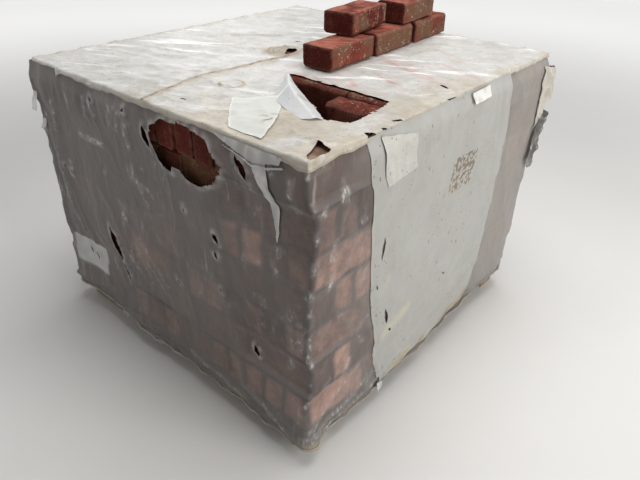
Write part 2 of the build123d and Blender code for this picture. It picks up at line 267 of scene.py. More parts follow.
@dataclass(frozen=True)
class ClayFinish:
    """Fired clay with a sanded, mottled face, each brick a shade of its own."""

    name: str
    tone: Tone
    pitch: Triple = (0.0706, 0.225, 0.1028)
    dark: Colour = (0.070, 0.016, 0.012)
    plain: Colour = (0.230, 0.048, 0.031)
    pale: Colour = (0.420, 0.150, 0.100)
    burnt: Colour = (0.070, 0.044, 0.030)
    sand: Colour = (0.460, 0.350, 0.270)
    maroon: Colour = (0.068, 0.012, 0.009)
    olive: Colour = (0.150, 0.084, 0.052)
    lime: Colour = (0.520, 0.450, 0.380)
    salmon: Colour = (0.430, 0.165, 0.118)
    arris: Colour = (0.230, 0.110, 0.075)

    def build(self) -> Material:
        """Make the material.

        Returns:
            The material.
        """
        graph = Graph(self.name)
        if self.tone is Tone.CELLS:
            lattice = graph.scaled(tuple(1 / size for size in self.pitch))
            square = {"Vector": lattice, "Scale": 1.0, "Randomness": 0.0}
            own = Wire(graph, graph.node("ShaderNodeTexVoronoi", None, square).outputs["Color"])
            shade = Wire(graph, graph.node("ShaderNodeSeparateColor", None, {0: own}).outputs[0])
        else:
            (shade,) = graph.attributes("tone")
        mottle = graph.noise(16, 6, 0.65)
        fine = graph.noise(140, 5, 0.7)
        graph.colour = graph.mix(graph.step(shade * 0.7 + mottle * 0.6, 0.3, 0.95), self.dark, self.plain)
        graph.coat(graph.step(mottle * 0.7 + fine * 0.5, 0.62, 0.82), self.pale)
        graph.coat(graph.step(graph.noise(9, 3) + shade * 0.25, 0.66, 0.86) * 0.7, self.burnt)
        if self.tone is Tone.POINTS:
            self.faces(graph, mottle, shade)
        grit = graph.step(graph.noise(520, 2), 0.62, 0.7)
        graph.coat(grit * 0.34, self.sand)
        # Small pits, pressed in by the bump and painted dark as the shade inside them.
        shaded_pits = graph.step(graph.cells(190), 0.30, 0.12) * graph.step(graph.noise(45), 0.5, 0.6)
        graph.coat(shaded_pits * 0.8, self.dark)
        graph.bump(fine * 0.5 + mottle * 0.6 + grit * 0.12 - shaded_pits * 0.5, 0.0022)
        rough = 0.8 + fine * 0.18
        return graph.finish(Roughness=rough, Specular_IOR_Level=0.07)

    def faces(self, graph: Graph, mottle: Wire, shade: Wire) -> None:
        """Colour a brick by face: maroon ends, dusty salmon beds, brown sides and worn edges.

        Args:
            graph: the material's nodes.
            mottle: the clay's cloudy noise.
            shade: the brick's own shade.
        """
        end, side, edge = graph.attributes("end", "side", "edge")
        graph.coat(end * (graph.step(mottle, 0.75, 0.35) * 0.3 + 0.68), self.maroon)
        bed = graph.most(1.0 - end * 2.0 - side, 0.0)
        dusty = graph.step(graph.noise(13, 5, 0.65), 0.36, 0.60)
        graph.coat(bed * dusty * 0.72, self.salmon)
        streak = graph.noise(24, 4, 0.6, graph.turned(-37, (0.16, 1.0, 1.0)))
        graph.coat(bed * graph.step(streak, 0.56, 0.66) * 0.55, self.maroon)
        self.in_the_pit(graph, bed, end)
        brown = side * graph.step(graph.noise(11, 4, 0.6) * 1.1 + shade * 0.35, 0.60, 0.84)
        graph.coat(brown * 0.9, self.olive)
        flecks = graph.step(graph.noise(120, 3, 0.6), 0.60, 0.67) * graph.step(graph.noise(19, 2), 0.42, 0.56)
        graph.coat(flecks * side * 0.75, self.lime)
        drips = graph.noise(38, 4, 0.6, graph.scaled((1.0, 1.0, 0.22)))
        graph.coat(side * graph.step(drips, 0.62, 0.72) * 0.42, self.lime)
        worn = edge * graph.step(graph.noise(55, 3), 0.35, 0.60)
        graph.coat(worn * 0.45, self.arris)
        graph.coat(edge * graph.step(graph.noise(31, 3), 0.56, 0.64) * 0.6, self.burnt)

    def in_the_pit(self, graph: Graph, bed: Wire, end: Wire) -> None:
        """Dimple the beds that show in the pit, paint shade over the pit's inside, darkest on its left, and
        sand the near corner's brick.

        Args:
            graph: the material's nodes.
            bed: how far a point lies on a brick's bed.
            end: how far it lies on a brick's end.
        """
        across, deep, _ = graph.axes()
        corner = graph.step(across, 0.44, 0.47) * graph.step(deep, -0.46, -0.48)
        within = graph.step(deep, -0.46, -0.44) * graph.step(deep, -0.14, -0.15)
        dimples = graph.step(graph.cells(125.0, None, 0.1), 0.36, 0.22) * graph.step(end, 0.8, 0.6)
        graph.coat(dimples * within * bed * 0.30, self.lime)
        # Painted shade in the maroon clay colour over everything inside the pit, strong on its left part and
        # weaker towards its right.
        pit_shade = within * graph.step(across, 0.08, 0.11) * graph.step(across, 0.48, 0.46)
        graph.coat(pit_shade * (0.62 - graph.step(across, 0.30, 0.34) * 0.34), self.maroon)
        graph.coat(corner * 0.85, self.sand)


@dataclass(frozen=True)
class FilmFinish:
    """Milky film: brick shows softly where it touches, and grey where it stands off."""

    name: str
    haze: Colour = (0.080, 0.067, 0.064)
    thick: Colour = (0.152, 0.134, 0.126)
    dusky: Colour = (0.150, 0.098, 0.078)
    pink: Colour = (0.440, 0.275, 0.222)
    pale: Colour = (0.70, 0.69, 0.67)
    sheen_colour: Colour = (0.62, 0.60, 0.57)
    grime: Colour = (0.07, 0.05, 0.04)
    stain: Colour = (0.36, 0.30, 0.20)
    least: float = 0.80
    most: float = 0.97
    crease_depth: float = 0.0022

    def build(self) -> Material:
        """Make the material.

        Returns:
            The material.
        """
        graph = Graph(self.name)
        away, dirt, white, touch, tone, smear_and_glint = graph.attributes(
            "haze", "dirt", "white", "touch", "tone", "scuff"
        )
        cloud = graph.noise(5, 5, 0.6)
        streak = graph.noise(30, 4, 0.6, graph.scaled((1.0, 1.0, 0.35)))
        creases = graph.crumple(20, graph.scaled((1.0, 1.0, 0.45)))
        sheen = graph.step(creases * 0.7 + streak * 0.5, 0.93, 1.12)
        graph.colour = graph.mix(graph.step(cloud + away * 0.3, 0.42, 0.95), self.haze, self.thick)
        mottle = graph.step(graph.noise(26, 5, 0.65), 0.30, 0.72)
        own = graph.step(tone + mottle * 0.35, 0.1, 1.2)
        brick = graph.mix(own, self.dusky, self.pink)
        graph.coat(touch * (mottle * 0.55 + 0.58), brick)
        # Painted highlights: sheen along the creases and glints in slanting streaks, laid on in a pale
        # colour.
        slant = graph.noise(44, 3, 0.5, graph.scaled((1.0, 1.0, 0.18), (0.3, 0.1, 0.0)))
        glint = graph.step(slant, 0.66, 0.74) * graph.step(graph.noise(8, 3), 0.47, 0.62)
        graph.coat(sheen * 0.16 + glint * 0.34, self.sheen_colour)
        # Painted highlights from the film's points, broken into short bright strokes and laid on in the pale
        # colour with the film's real whiteness.
        strokes = graph.noise(115, 3, 0.6, graph.turned(30, (0.6, 1.0, 0.45)))
        scuff = smear_and_glint * (graph.step(strokes, 0.50, 0.64) * 1.2 + 0.35)
        white = graph.math("MINIMUM", graph.most(white, scuff), 1.0)
        graph.coat(white, self.pale)
        graph.coat(graph.step(dirt + cloud * 0.5, 0.55, 1.25) * 0.8, self.stain)
        specks = graph.step(graph.cells(48), 0.13, 0.07) * graph.step(graph.noise(5, 3), 0.5, 0.68)
        graph.coat(specks * 0.85 + graph.step(dirt, 0.9, 1.0) * 0.6, self.grime)
        cover = graph.step(away * 0.8 + cloud * 0.4, 0.1, 0.9) * (self.most - self.least) + self.least
        cover = graph.math("MINIMUM", graph.most(cover, graph.most(white, specks)), 1.0)
        graph.bump(creases * 0.6 + streak * 0.25 + cloud, self.crease_depth)
        return graph.finish(
            Roughness=0.34 + cloud * 0.22, Alpha=cover, Specular_IOR_Level=0.38, Coat_Weight=0.11,
            Coat_Roughness=0.2,
        )


@dataclass(frozen=True)
class SheetFinish:
    """Opaque white film, creased and dirty, with specks and clay smears."""

    name: str
    clean: Colour = (0.62, 0.61, 0.585)
    dull: Colour = (0.45, 0.425, 0.38)
    grime: Colour = (0.16, 0.13, 0.10)
    clay: Colour = (0.47, 0.21, 0.17)
    yellow: Colour = (0.64, 0.58, 0.33)
    worn: Colour = (0.76, 0.75, 0.73)
    tan: Colour = (0.50, 0.43, 0.32)
    glint_colour: Colour = (0.90, 0.90, 0.89)
    brown: Colour = (0.30, 0.25, 0.19)
    crease_depth: float = 0.0022
    crease_scale: float = 14.0
    unevenness: float = 0.8
    lines: float = 0.2
    glint_streaks: float = 0.0
    gloss: float = 0.32

    def build(self) -> Material:
        """Make the material.

        Returns:
            The material.
        """
        graph = Graph(self.name)
        dirt, smear, stain = graph.attributes("dirt", "smear", "stain")
        cloud = graph.noise(5, 6, 0.62)
        patch = graph.noise(19, 5, 0.65)
        creases = graph.crumple(self.crease_scale)
        small = graph.crumple(self.crease_scale * 3.5)
        uneven = graph.step(cloud * 0.6 + patch * 0.5, 0.45, 0.72) * self.unevenness
        graph.colour = graph.mix(uneven, self.clean, self.dull)
        graph.coat(graph.step(creases, 0.86, 0.99) * self.lines, self.worn)
        graph.coat(graph.step(stain + patch * 0.6, 0.5, 1.2), self.yellow)
        scratch = graph.noise(34, 4, 0.6, graph.turned(22, (0.10, 1.0, 1.0)))
        smear_and_glint = smear * graph.step(scratch + patch * 0.25, 0.62, 0.78)
        graph.coat(smear_and_glint * 0.85 + graph.step(smear, 0.2, 1.0) * 0.10, self.clay)
        # Painted glints: long streaks of highlight in a near-white colour, also raised a little by the bump.
        gloss = graph.noise(26, 4, 0.55, graph.turned(-27, (0.14, 1.0, 1.0)))
        gloss = graph.step(gloss, 0.54, 0.68) * graph.step(graph.noise(3.2, 3), 0.36, 0.58)
        graph.coat(gloss * self.glint_streaks, self.glint_colour)
        ticks = graph.cells(46, graph.scaled((1.0, 1.0, 0.4), (0.0, 0.07, 0.0)))
        ticks = graph.step(ticks, 0.135, 0.08) * graph.step(graph.noise(9, 2), 0.42, 0.52)
        specks = graph.step(graph.cells(60), 0.17, 0.10) * graph.step(graph.noise(7, 3), 0.47, 0.62)
        crumbs = graph.step(graph.cells(105), 0.15, 0.08)
        crumbs = crumbs * graph.step(dirt + graph.noise(12, 3) * 0.8, 0.66, 0.95)
        specks = graph.most(graph.most(specks, ticks), crumbs)
        tan = graph.step(dirt * 1.1 + graph.noise(9, 5, 0.7) * 1.1, 0.92, 1.20)
        graph.coat(tan * 0.65, self.tan)
        wash = graph.step(dirt + patch * 0.8, 0.7, 1.35)
        graph.coat(wash * 0.8, self.brown)
        graph.coat(graph.most(specks * 0.8, graph.step(dirt, 0.92, 1.0)), self.grime)
        graph.bump(creases * 0.7 + small * 0.22 + cloud + gloss * self.glint_streaks * 1.5, self.crease_depth)
        return graph.finish(Roughness=self.gloss + patch * 0.25, Specular_IOR_Level=0.4, Coat_Weight=0.12)


@dataclass(frozen=True)
class TimberFinish:
    """Sawn softwood with grain along one axis, weathered and dusty."""

    name: str
    stretch: Triple
    pale: Colour = (0.42, 0.30, 0.19)
    dark: Colour = (0.20, 0.13, 0.08)
    grey: Colour = (0.27, 0.25, 0.22)

    def build(self) -> Material:
        """Make the material.

        Returns:
            The material.
        """
        graph = Graph(self.name)
        grain = graph.noise(26, 6, 0.6, graph.scaled(self.stretch))
        fibre = graph.noise(210, 3, 0.6, graph.scaled(self.stretch))
        weather = graph.noise(6, 4)
        graph.colour = graph.mix(graph.step(grain, 0.4, 0.62), self.pale, self.dark)
        graph.coat(graph.step(weather, 0.42, 0.7) * 0.6, self.grey)
        graph.bump(grain * 0.7 + fibre * 0.5, 0.0015)
        return graph.finish(Roughness=0.72 + fibre * 0.2)


@dataclass(frozen=True)
class PaperFinish:
    """A blank, faded paper label."""

    name: str = "label_paper"
    paper: Colour = (0.70, 0.69, 0.66)
    faded: Colour = (0.52, 0.51, 0.49)

    def build(self) -> Material:
        """Make the material.

        Returns:
            The material.
        """
        graph = Graph(self.name)
        fibre = graph.noise(240, 4)
        wear = graph.noise(30, 4, 0.6)
        graph.colour = graph.mix(graph.step(wear, 0.42, 0.66), self.paper, self.faded)
        graph.bump(fibre + wear, 0.0006)
        return graph.finish(Roughness=0.75 + fibre * 0.15)


def ripple(a: float, b: float, scale: float, seed: float = 0.0) -> float:
    """Smooth noise from -1 to 1 over a sheet, with that many waves to the metre."""
    return noise.noise(Vector((a * scale, b * scale, seed * 7.31)))


def crease(a: float, b: float, scale: float, seed: float = 0.0, sharpness: float = 3.0) -> float:
    """Ridged noise from 0 to 1, its ridges thinner as the sharpness grows."""
    return (1.0 - abs(ripple(a, b, scale, seed))) ** sharpness


def ramp(value: float, low: float, high: float) -> float:
    """0 at low, 1 at high, and a smooth curve between, either way round."""
    share = min(1.0, max(0.0, (value - low) / (high - low)))
    return share * share * (3 - 2 * share)


def bell(distance: float, width: float) -> float:
    """1 on a line, falling away smoothly over a width."""
    return math.exp(-((distance / width) ** 2))


def around(point: Point, middle: Point, far: float, close: float) -> float:
    """0 at a far distance from a place, 1 at a close one, and a smooth curve between."""
    return ramp(math.dist(point, middle), far, close)


def blotches(a: float, b: float, scale: float, seed: float, low: float, high: float) -> float:
    """Soft patches from 0 to 1, where smooth noise passes from low to high."""
    return ramp(ripple(a, b, scale, seed), low, high)


def along_segment(point: Point, start: Point, end: Point) -> tuple[float, Point]:
    """Find the nearest point of a segment.

    Args:
        point: where it is measured from.
        start: one end of the segment.
        end: its other end.

    Returns:
        The distance, and the nearest point.
    """
    run = (end[0] - start[0], end[1] - start[1])
    length = run[0] ** 2 + run[1] ** 2
    share = ((point[0] - start[0]) * run[0] + (point[1] - start[1]) * run[1]) / max(length, 1e-12)
    share = min(1.0, max(0.0, share))
    spot = (start[0] + share * run[0], start[1] + share * run[1])
    return math.dist(point, spot), spot


def from_line(point: Point, line: Points) -> float:
    """Distance from a point to an open run of points."""
    return min(along_segment(point, *ends)[0] for ends in zip(line, line[1:]))


@dataclass(frozen=True)
class Outline:
    """A closed run of points on a sheet that is laid flat."""

    points: Points

    def edges(self) -> list[tuple[Point, Point]]:
        """Each side of the outline by its ends."""
        return list(zip(self.points, [*self.points[1:], self.points[0]]))

    @cached_property
    def spans(self) -> tuple[Point, Point]:
        """Work out how far the outline reaches along each of the sheet's two directions.

        Returns:
            The lowest and highest value along each.
        """
        across = [a for a, _ in self.points]
        down = [b for _, b in self.points]
        return (min(across), max(across)), (min(down), max(down))

    @property
    def size(self) -> Point:
        """The size of the outline's box."""
        return tuple(high - low for low, high in self.spans)

    def near(self, point: Point, reach: float) -> bool:
        """Whether a point is within reach of the outline's box."""
        (left, right), (low, high) = self.spans
        return left - reach < point[0] < right + reach and low - reach < point[1] < high + reach

    def nearest(self, point: Point) -> tuple[float, Point]:
        """Distance to the outline, and its nearest point."""
        return min(along_segment(point, *edge) for edge in self.edges())

    def holds(self, point: Point) -> bool:
        """Tell whether a point is inside.

        Args:
            point: a place on the sheet.

        Returns:
            Whether the outline holds it.
        """
        inside = False
        for (a0, b0), (a1, b1) in self.edges():
            if (b0 > point[1]) != (b1 > point[1]) and point[0] < (a1 - a0) * (point[1] - b0) / (b1 - b0) + a0:
                inside = not inside
        return inside


def frayed(points: Points, step: float, depth: float, seed: float) -> Outline:
    """Break an outline's sides into short runs that wander, as torn film does.

    Args:
        points: the outline's corners.
        step: length of each short run.
        depth: how far the line wanders.
        seed: picks the pattern.

    Returns:
        The frayed outline.
    """
    result: list[Point] = []
    for (a0, b0), (a1, b1) in Outline(points).edges():
        count = max(1, round(math.dist((a0, b0), (a1, b1)) / step))
        for index in range(count):
            share = index / count
            a, b = a0 + (a1 - a0) * share, b0 + (b1 - b0) * share
            if index:
                a += depth * ripple(a, b, 0.6 / step, seed)
                b += depth * ripple(a, b, 0.6 / step, seed + 5)
            result.append((a, b))
    return Outline(result)


def sliver(start: Point, end: Point, width: float) -> Outline:
    """Draw a slit, pointed at both ends and widest in the middle.

    Args:
        start: one point.
        end: the other point.
        width: how wide it gapes.

    Returns:
        The outline.
    """
    run = math.dist(start, end)
    side = ((end[1] - start[1]) / run * width / 2, (start[0] - end[0]) / run * width / 2)
    points: list[Point] = [start]
    for sign, shares in ((1, (0.3, 0.6)), (0, (1.0,)), (-1, (0.7, 0.35))):
        for share in shares:
            middle = (start[0] + (end[0] - start[0]) * share, start[1] + (end[1] - start[1]) * share)
            points.append((middle[0] + sign * side[0], middle[1] + sign * side[1]))
    return Outline(points)


def lines_between(start: float, end: float, step: float, spans: Points = ()) -> list[float]:
    """Set grid lines over a length, closer together across each given span.

    Args:
        start: where the first line lies.
        end: where the last one lies.
        step: the usual distance between them.
        spans: the low and high end of each part that needs closer lines.

    Returns:
        Each line's place.
    """
    margin = 2 * SLIT_STEP
    lines = [start]
    while lines[-1] < end - 1e-6:
        here = lines[-1]
        close = any(low - margin < here < high + margin for low, high in spans)
        ahead = [low - margin for low, _ in spans if here < low - margin < here + step]
        lines.append(min([here + (SLIT_STEP if close else step), end, *ahead]))
    return lines


@dataclass(frozen=True)
class Spot:
    """One point of a sheet: where it is, and the values its finish reads."""

    place: Vector
    values: dict[str, float] = field(default_factory=dict)


Surface = Callable[[float, float], Spot]


@dataclass
class TornSheet:
    """A thin sheet made as a grid, cut to an outline and torn through by holes."""

    name: str
    columns: list[float]
    rows: list[float]
    surface: Surface
    outline: Optional[Outline] = None
    holes: Sequence[Outline] = ()
    joined: bool = False
    snap: float = 0.55

    def snapped(self, point: Point, reach: Point) -> Point:
        """Move a grid point onto the nearest cut edge that is within reach.

        Args:
            point: a crossing of two grid lines.
            reach: how far it may move each way.

        Returns:
            Where it belongs.
        """
        cuts = [*self.holes, *([self.outline] if self.outline else [])]
        for cut in cuts:
            if not cut.near(point, max(reach)):
                continue
            _, spot = cut.nearest(point)
            if abs(spot[0] - point[0]) < reach[0] and abs(spot[1] - point[1]) < reach[1]:
                return spot
        return point

    def kept(self, middle: Point) -> bool:
        """Tell whether the film is there.

        Args:
            middle: the middle of a cell.

        Returns:
            Whether the cell is kept.
        """
        if self.outline and not self.outline.holds(middle):
            return False
        return not any(hole.near(middle, 0.0) and hole.holds(middle) for hole in self.holes)

    def build(self) -> Piece:
        """Make the mesh.

        Returns:
            The sheet's object, with its values stored on the mesh's points.
        """
        flat: list[Point] = []
        for row_index, row in enumerate(self.rows):
            row_reach = self.snap * self.spacing(self.rows, row_index)
            for column_index, column in enumerate(self.columns):
                reach = (self.snap * self.spacing(self.columns, column_index), row_reach)
                flat.append(self.snapped((column, row), reach))
        width = len(self.columns)
        faces: list[tuple[int, ...]] = []
        for row_index in range(len(self.rows) - 1):
            for column_index in range(width if self.joined else width - 1):
                following = (column_index + 1) % width
                ring = (
                    row_index * width + column_index,
                    row_index * width + following,
                    (row_index + 1) * width + following,
                    (row_index + 1) * width + column_index,
                )
                middle = tuple(sum(flat[corner][axis] for corner in ring) / 4 for axis in (0, 1))
                if following < column_index or self.kept(middle):
                    faces.append(ring)
        used = sorted({corner for face in faces for corner in face})
        number = {corner: index for index, corner in enumerate(used)}
        spots = [self.surface(*flat[corner]) for corner in used]
        mesh = bpy.data.meshes.new(self.name)
        mesh.from_pydata([spot.place for spot in spots], [], [[number[c] for c in face] for face in faces])
        for key in spots[0].values:
            layer = mesh.attributes.new(key, "FLOAT", "POINT")
            layer.data.foreach_set("value", [spot.values[key] for spot in spots])
        mesh.polygons.foreach_set("use_smooth", [True] * len(mesh.polygons))
        piece = bpy.data.objects.new(self.name, mesh)
        bpy.context.scene.collection.objects.link(piece)
        return piece

    @staticmethod
    def spacing(lines: list[float], index: int) -> float:
        """The smaller gap beside a grid line."""
        gaps = [abs(lines[i + 1] - lines[i]) for i in (index - 1, index) if 0 <= i < len(lines) - 1]
        return min(gaps)


def cut_piece(name: str, outline: Outline, step: float, surface: Surface) -> Piece:
    """A small sheet cut to an outline, by the step between its grid lines and its surface."""
    columns, rows = (lines_between(low - CUT_MARGIN, high + CUT_MARGIN, step) for low, high in outline.spans)
    return TornSheet(name, columns, rows, surface, outline).build()


def dress(piece: Piece, material: Material) -> Piece:
    """Give a piece its finish, and let it ride on the pack.

    Args:
        piece: the piece's object.
        material: its finish.

    Returns:
        The same object.
    """
    piece.data.materials.clear()
    piece.data.materials.append(material)
    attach(piece, "root")
    return piece


@dataclass
class Pack:
    """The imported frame's sizes that the film and sheets follow."""

    courses: int = 7
    bridge: float = 0.022
    stand_off: float = 0.0022
    boxes: list[tuple[Vector, Vector]] = field(init=False)
    deck: float = field(init=False)
    top: float = field(init=False)

    def __post_init__(self) -> None:
        """Read the courses from the frame."""
        self.boxes = [tuple(Vector(end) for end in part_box(f"course_{k + 1}")) for k in range(self.courses)]
        self.deck = self.boxes[0][0].z
        self.top = self.boxes[-1][1].z

    def reach(self, z: float, axis: int, sign: int) -> tuple[float, float]:
        """How far the film and the bricks reach at a height, along one axis and way.

        Args:
            z: the height.
            axis: 0 for X or 1 for Y.
            sign: 1 or -1.

        Returns:
            The film's coordinate and that of the course behind it.
        """
        faces = [box[1 if sign > 0 else 0][axis] for box in self.boxes]
        pitch = (self.top - self.deck) / self.courses
        level = min(self.courses - 1, max(0, int((z - self.deck) / pitch)))
        here = sign * faces[level]
        film = here
        for other, joint in ((level - 1, level), (level + 1, level + 1)):
            if 0 <= other < self.courses:
                beyond = max(0.0, sign * faces[other] - here)
                away = abs(z - self.deck - joint * pitch)
                film = max(film, here + beyond * ramp(away, self.bridge, 0.0))
        return sign * (film + self.stand_off), sign * here

    def hull(self, axis: int, sign: int) -> float:
        """The film's coordinate where it hangs straight down from the farthest course."""
        return sign * (max(sign * box[1 if sign > 0 else 0][axis] for box in self.boxes) + self.stand_off)


@dataclass
class FilmWrap:
    """The milky film round the four sides, from under the top sheet to its rolled hem.

    Lengths round the pack start at the middle of the front and grow to the right.
    """

    pack: Pack
    finish: FilmFinish
    corner: float = 0.007
    fine_step: float = 0.0085
    coarse_step: float = 0.018
    bend_step: float = 0.0035
    hem_low: float = 0.052
    hem_left: float = 0.082
    open_hem: float = 0.098
    hem_tuck: float = 0.020
    roll: float = 0.0045
    roll_rows: int = 8
    roll_turn: float = 5.2
    fold_width: float = 0.0065
    lift_reach: float = 0.018
    folds_from: float = -0.56
    folds_to: float = 0.86
    star: Point = (-0.16, 0.335)
    blush: Point = (-0.10, 0.52)
    # Middle of a spot of painted glints.
    smear_and_glint: Point = (-0.033, 0.606)
    patch: Point = (-0.415, 0.232)
    patch_half: Point = (0.085, 0.052)
    front_tear: Points = (
        (0.036, 0.742), (0.046, 0.790), (0.080, 0.812), (0.132, 0.813), (0.186, 0.818), (0.244, 0.806),
        (0.292, 0.752), (0.270, 0.730), (0.246, 0.706), (0.206, 0.684), (0.150, 0.682), (0.118, 0.701),
        (0.092, 0.700), (0.086, 0.682), (0.066, 0.688), (0.040, 0.706),
    )
    slits: Sequence[Stroke] = (
        ((-0.262, 0.398), (-0.222, 0.290), 0.027), ((-0.221, 0.282), (-0.198, 0.222), 0.006),
        ((0.004, 0.778), (0.018, 0.722), 0.021), ((0.337, 0.800), (0.349, 0.776), 0.010),
        ((0.350, 0.792), (0.372, 0.748), 0.018), ((0.236, 0.572), (0.254, 0.548), 0.013),
        ((0.240, 0.520), (0.250, 0.498), 0.010), ((0.350, 0.280), (0.364, 0.248), 0.015),
        ((-0.420, 0.262), (-0.410, 0.236), 0.006), ((-0.392, 0.258), (-0.372, 0.224), 0.007),
        ((-0.168, 0.330), (-0.150, 0.300), 0.006), ((0.060, 0.352), (0.074, 0.334), 0.005),
        ((0.118, 0.600), (0.124, 0.585), 0.005), ((-0.229, 0.794), (-0.224, 0.782), 0.007),
        ((-0.071, 0.806), (-0.066, 0.792), 0.006), ((-0.528, 0.643), (-0.525, 0.632), 0.005),
        ((-0.434, 0.551), (-0.433, 0.512), 0.004), ((-0.171, 0.466), (-0.168, 0.455), 0.005),
        ((-0.460, 0.539), (-0.457, 0.529), 0.004), ((0.250, 0.412), (0.254, 0.401), 0.004),
    )
    near_bricks: tuple[tuple[Sequence[float], ...], ...] = (
        ((0.95, 0.85, 0.75, 0.50), (0.32, 0.22), (0.45, 0.10, 0.42, 0.05, 0.62), (0.12, 0.20),
         (0.38, 0.10, 0.98, 0.72, 0.58, 0.50), (0.26, 0.34, 0.20), (0.42, 0.05, 0.20)),
        ((1.00, 0.35), (0.15, 0.92, 0.10, 0.30), (0.40, 0.50), (0.12, 0.55, 0.80),
         (0.72, 0.50), (0.62, 0.50, 0.08, 0.40), (0.30, 0.30)),
    )
    # Long folds: start, end, how high each stands, and how strong the highlight painted along it is.
    folds: Sequence[Fold] = (
        ((-0.345, 0.664), (-0.300, 0.661), 0.006, 0.5), ((-0.300, 0.661), (-0.226, 0.666), 0.007, 0.6),
        ((-0.508, 0.690), (-0.465, 0.403), 0.006, 0.35), ((-0.548, 0.640), (-0.510, 0.420), 0.005, 0.30),
        ((-0.245, 0.780), (-0.228, 0.744), 0.003, 0.45), ((-0.134, 0.790), (-0.160, 0.730), 0.004, 0.40),
        ((-0.070, 0.796), (-0.088, 0.699), 0.005, 0.50), ((-0.100, 0.780), (-0.124, 0.735), 0.004, 0.35),
        ((0.524, 0.048), (0.323, 0.124), 0.004, 0.30), ((0.520, 0.044), (0.398, 0.098), 0.004, 0.35),
        ((0.320, 0.076), (0.090, 0.104), 0.004, 0.25), ((0.548, 0.060), (0.840, 0.090), 0.005, 0.35),
        ((0.548, 0.074), (0.800, 0.132), 0.004, 0.30), ((0.546, 0.100), (0.730, 0.200), 0.004, 0.28),
        ((0.494, 0.752), (0.500, 0.788), 0.004, 0.50), ((-0.156, 0.348), (-0.133, 0.280), 0.003, 0.22),
        ((-0.120, 0.371), (-0.080, 0.294), 0.004, 0.25), ((-0.079, 0.399), (-0.003, 0.296), 0.004, 0.25),
        ((-0.079, 0.341), (-0.020, 0.263), 0.003, 0.22), ((-0.239, 0.348), (-0.223, 0.275), 0.003, 0.28),
        ((-0.345, 0.329), (-0.309, 0.300), 0.004, 0.22), ((-0.447, 0.734), (-0.474, 0.649), 0.005, 0.30),
        ((-0.489, 0.534), (-0.476, 0.435), 0.005, 0.28), ((-0.48, 0.427), (-0.43, 0.321), 0.005, 0.22),
        ((-0.532, 0.665), (-0.549, 0.55), 0.005, 0.30), ((-0.53, 0.38), (-0.502, 0.229), 0.005, 0.20),
        ((-0.268, 0.781), (-0.276, 0.735), 0.005, 0.40), ((-0.115, 0.79), (-0.144, 0.741), 0.005, 0.40),
        ((-0.09, 0.786), (-0.062, 0.762), 0.005, 0.30), ((-0.329, 0.425), (-0.317, 0.344), 0.005, 0.18),
    )

    def __post_init__(self) -> None:
        """Work out the film's nominal lengths round the pack."""
        low = [min(box[0][axis] for box in self.pack.boxes) for axis in (0, 1)]
        high = [max(box[1][axis] for box in self.pack.boxes) for axis in (0, 1)]
        self.width = high[0] - low[0]
        self.depth = high[1] - low[1]
        arc = self.corner * math.pi / 2
        runs = [self.width, arc, self.depth, arc, self.width, arc, self.depth, arc]
        self.stops = [-self.width / 2]
        for run in runs:
            self.stops.append(self.stops[-1] + run)
        self.holes = [frayed(self.front_tear, 0.012, 0.004, 3.0)]
        self.holes += [sliver(*slit) for slit in self.slits]
        self.fold_lines = [(Outline((start, end)), rise, shade) for start, end, rise, shade in self.folds]

    def stretch(self, a: float) -> tuple[int, int, float]:
        """Find what lies at a length round the pack.

        Args:
            a: length round the pack.

        Returns:
            The side, 1 on the bend that follows it or 0, and the share of it that is passed.
        """
        part = max(0, min(7, sum(stop <= a for stop in self.stops) - 1))
        share = (a - self.stops[part]) / (self.stops[part + 1] - self.stops[part])
        return part // 2, part % 2, share

    def outward(self, a: float, z: float) -> tuple[Vector, Vector, float]:
        """The film's bare line at a length round the pack and a height.

        Args:
            a: length round the pack.
            z: the height.

        Returns:
            The point, the way out, and how far the film stands off the bricks.
        """
        lows = [self.pack.reach(z, axis, -1) for axis in (0, 1)]
        highs = [self.pack.reach(z, axis, 1) for axis in (0, 1)]
        corners = [
            Vector((lows[0][0], lows[1][0])), Vector((highs[0][0], lows[1][0])),
            Vector((highs[0][0], highs[1][0])), Vector((lows[0][0], highs[1][0])),
        ]
        side, bend, share = self.stretch(a)
        ahead = Vector((math.cos(side * math.pi / 2), math.sin(side * math.pi / 2)))
        out = Vector((ahead.y, -ahead.x))
        start = corners[side] + ahead * self.corner
        end = corners[(side + 1) % 4] - ahead * self.corner
        film, brick = (lows[1], highs[0], highs[1], lows[0])[side]
        gap = abs(film - brick)
        if not bend:
            spot = start + (end - start) * share
            return Vector((*spot, z)), Vector((*out, 0)), gap
        turn = share * math.pi / 2
        way = out * math.cos(turn) + ahead * math.sin(turn)
        spot = end - out * self.corner + way * self.corner
        return Vector((*spot, z)), Vector((*way, 0)), gap

    def slack(self, a: float, z: float) -> float:
        """How far the film stands off because it hangs straight, clear of courses set back.

        Args:
            a: length round the pack.
            z: the height.

        Returns:
            The distance in metres, which is 0 near the front corner and at the back.
        """
        side, bend, share = self.stretch(a)
        gaps = []
        for face in (side, (side + 1) % 4):
            axis, sign = ((1, -1), (0, 1), (1, 1), (0, -1))[face]
            away = abs(self.pack.hull(axis, sign) - self.pack.reach(z, axis, sign)[0])
            gaps.append(0.0 if face == 2 else away)
        gap = gaps[0] + (gaps[1] - gaps[0]) * share if bend else gaps[0]
        if a <= self.stops[1]:
            hold = ramp(abs(a - self.stops[1]), 0.16, 0.36)
        else:
            hold = ramp(a, self.stops[2] + 0.05, self.stops[2] + 0.19)
        return 0.85 * gap * hold

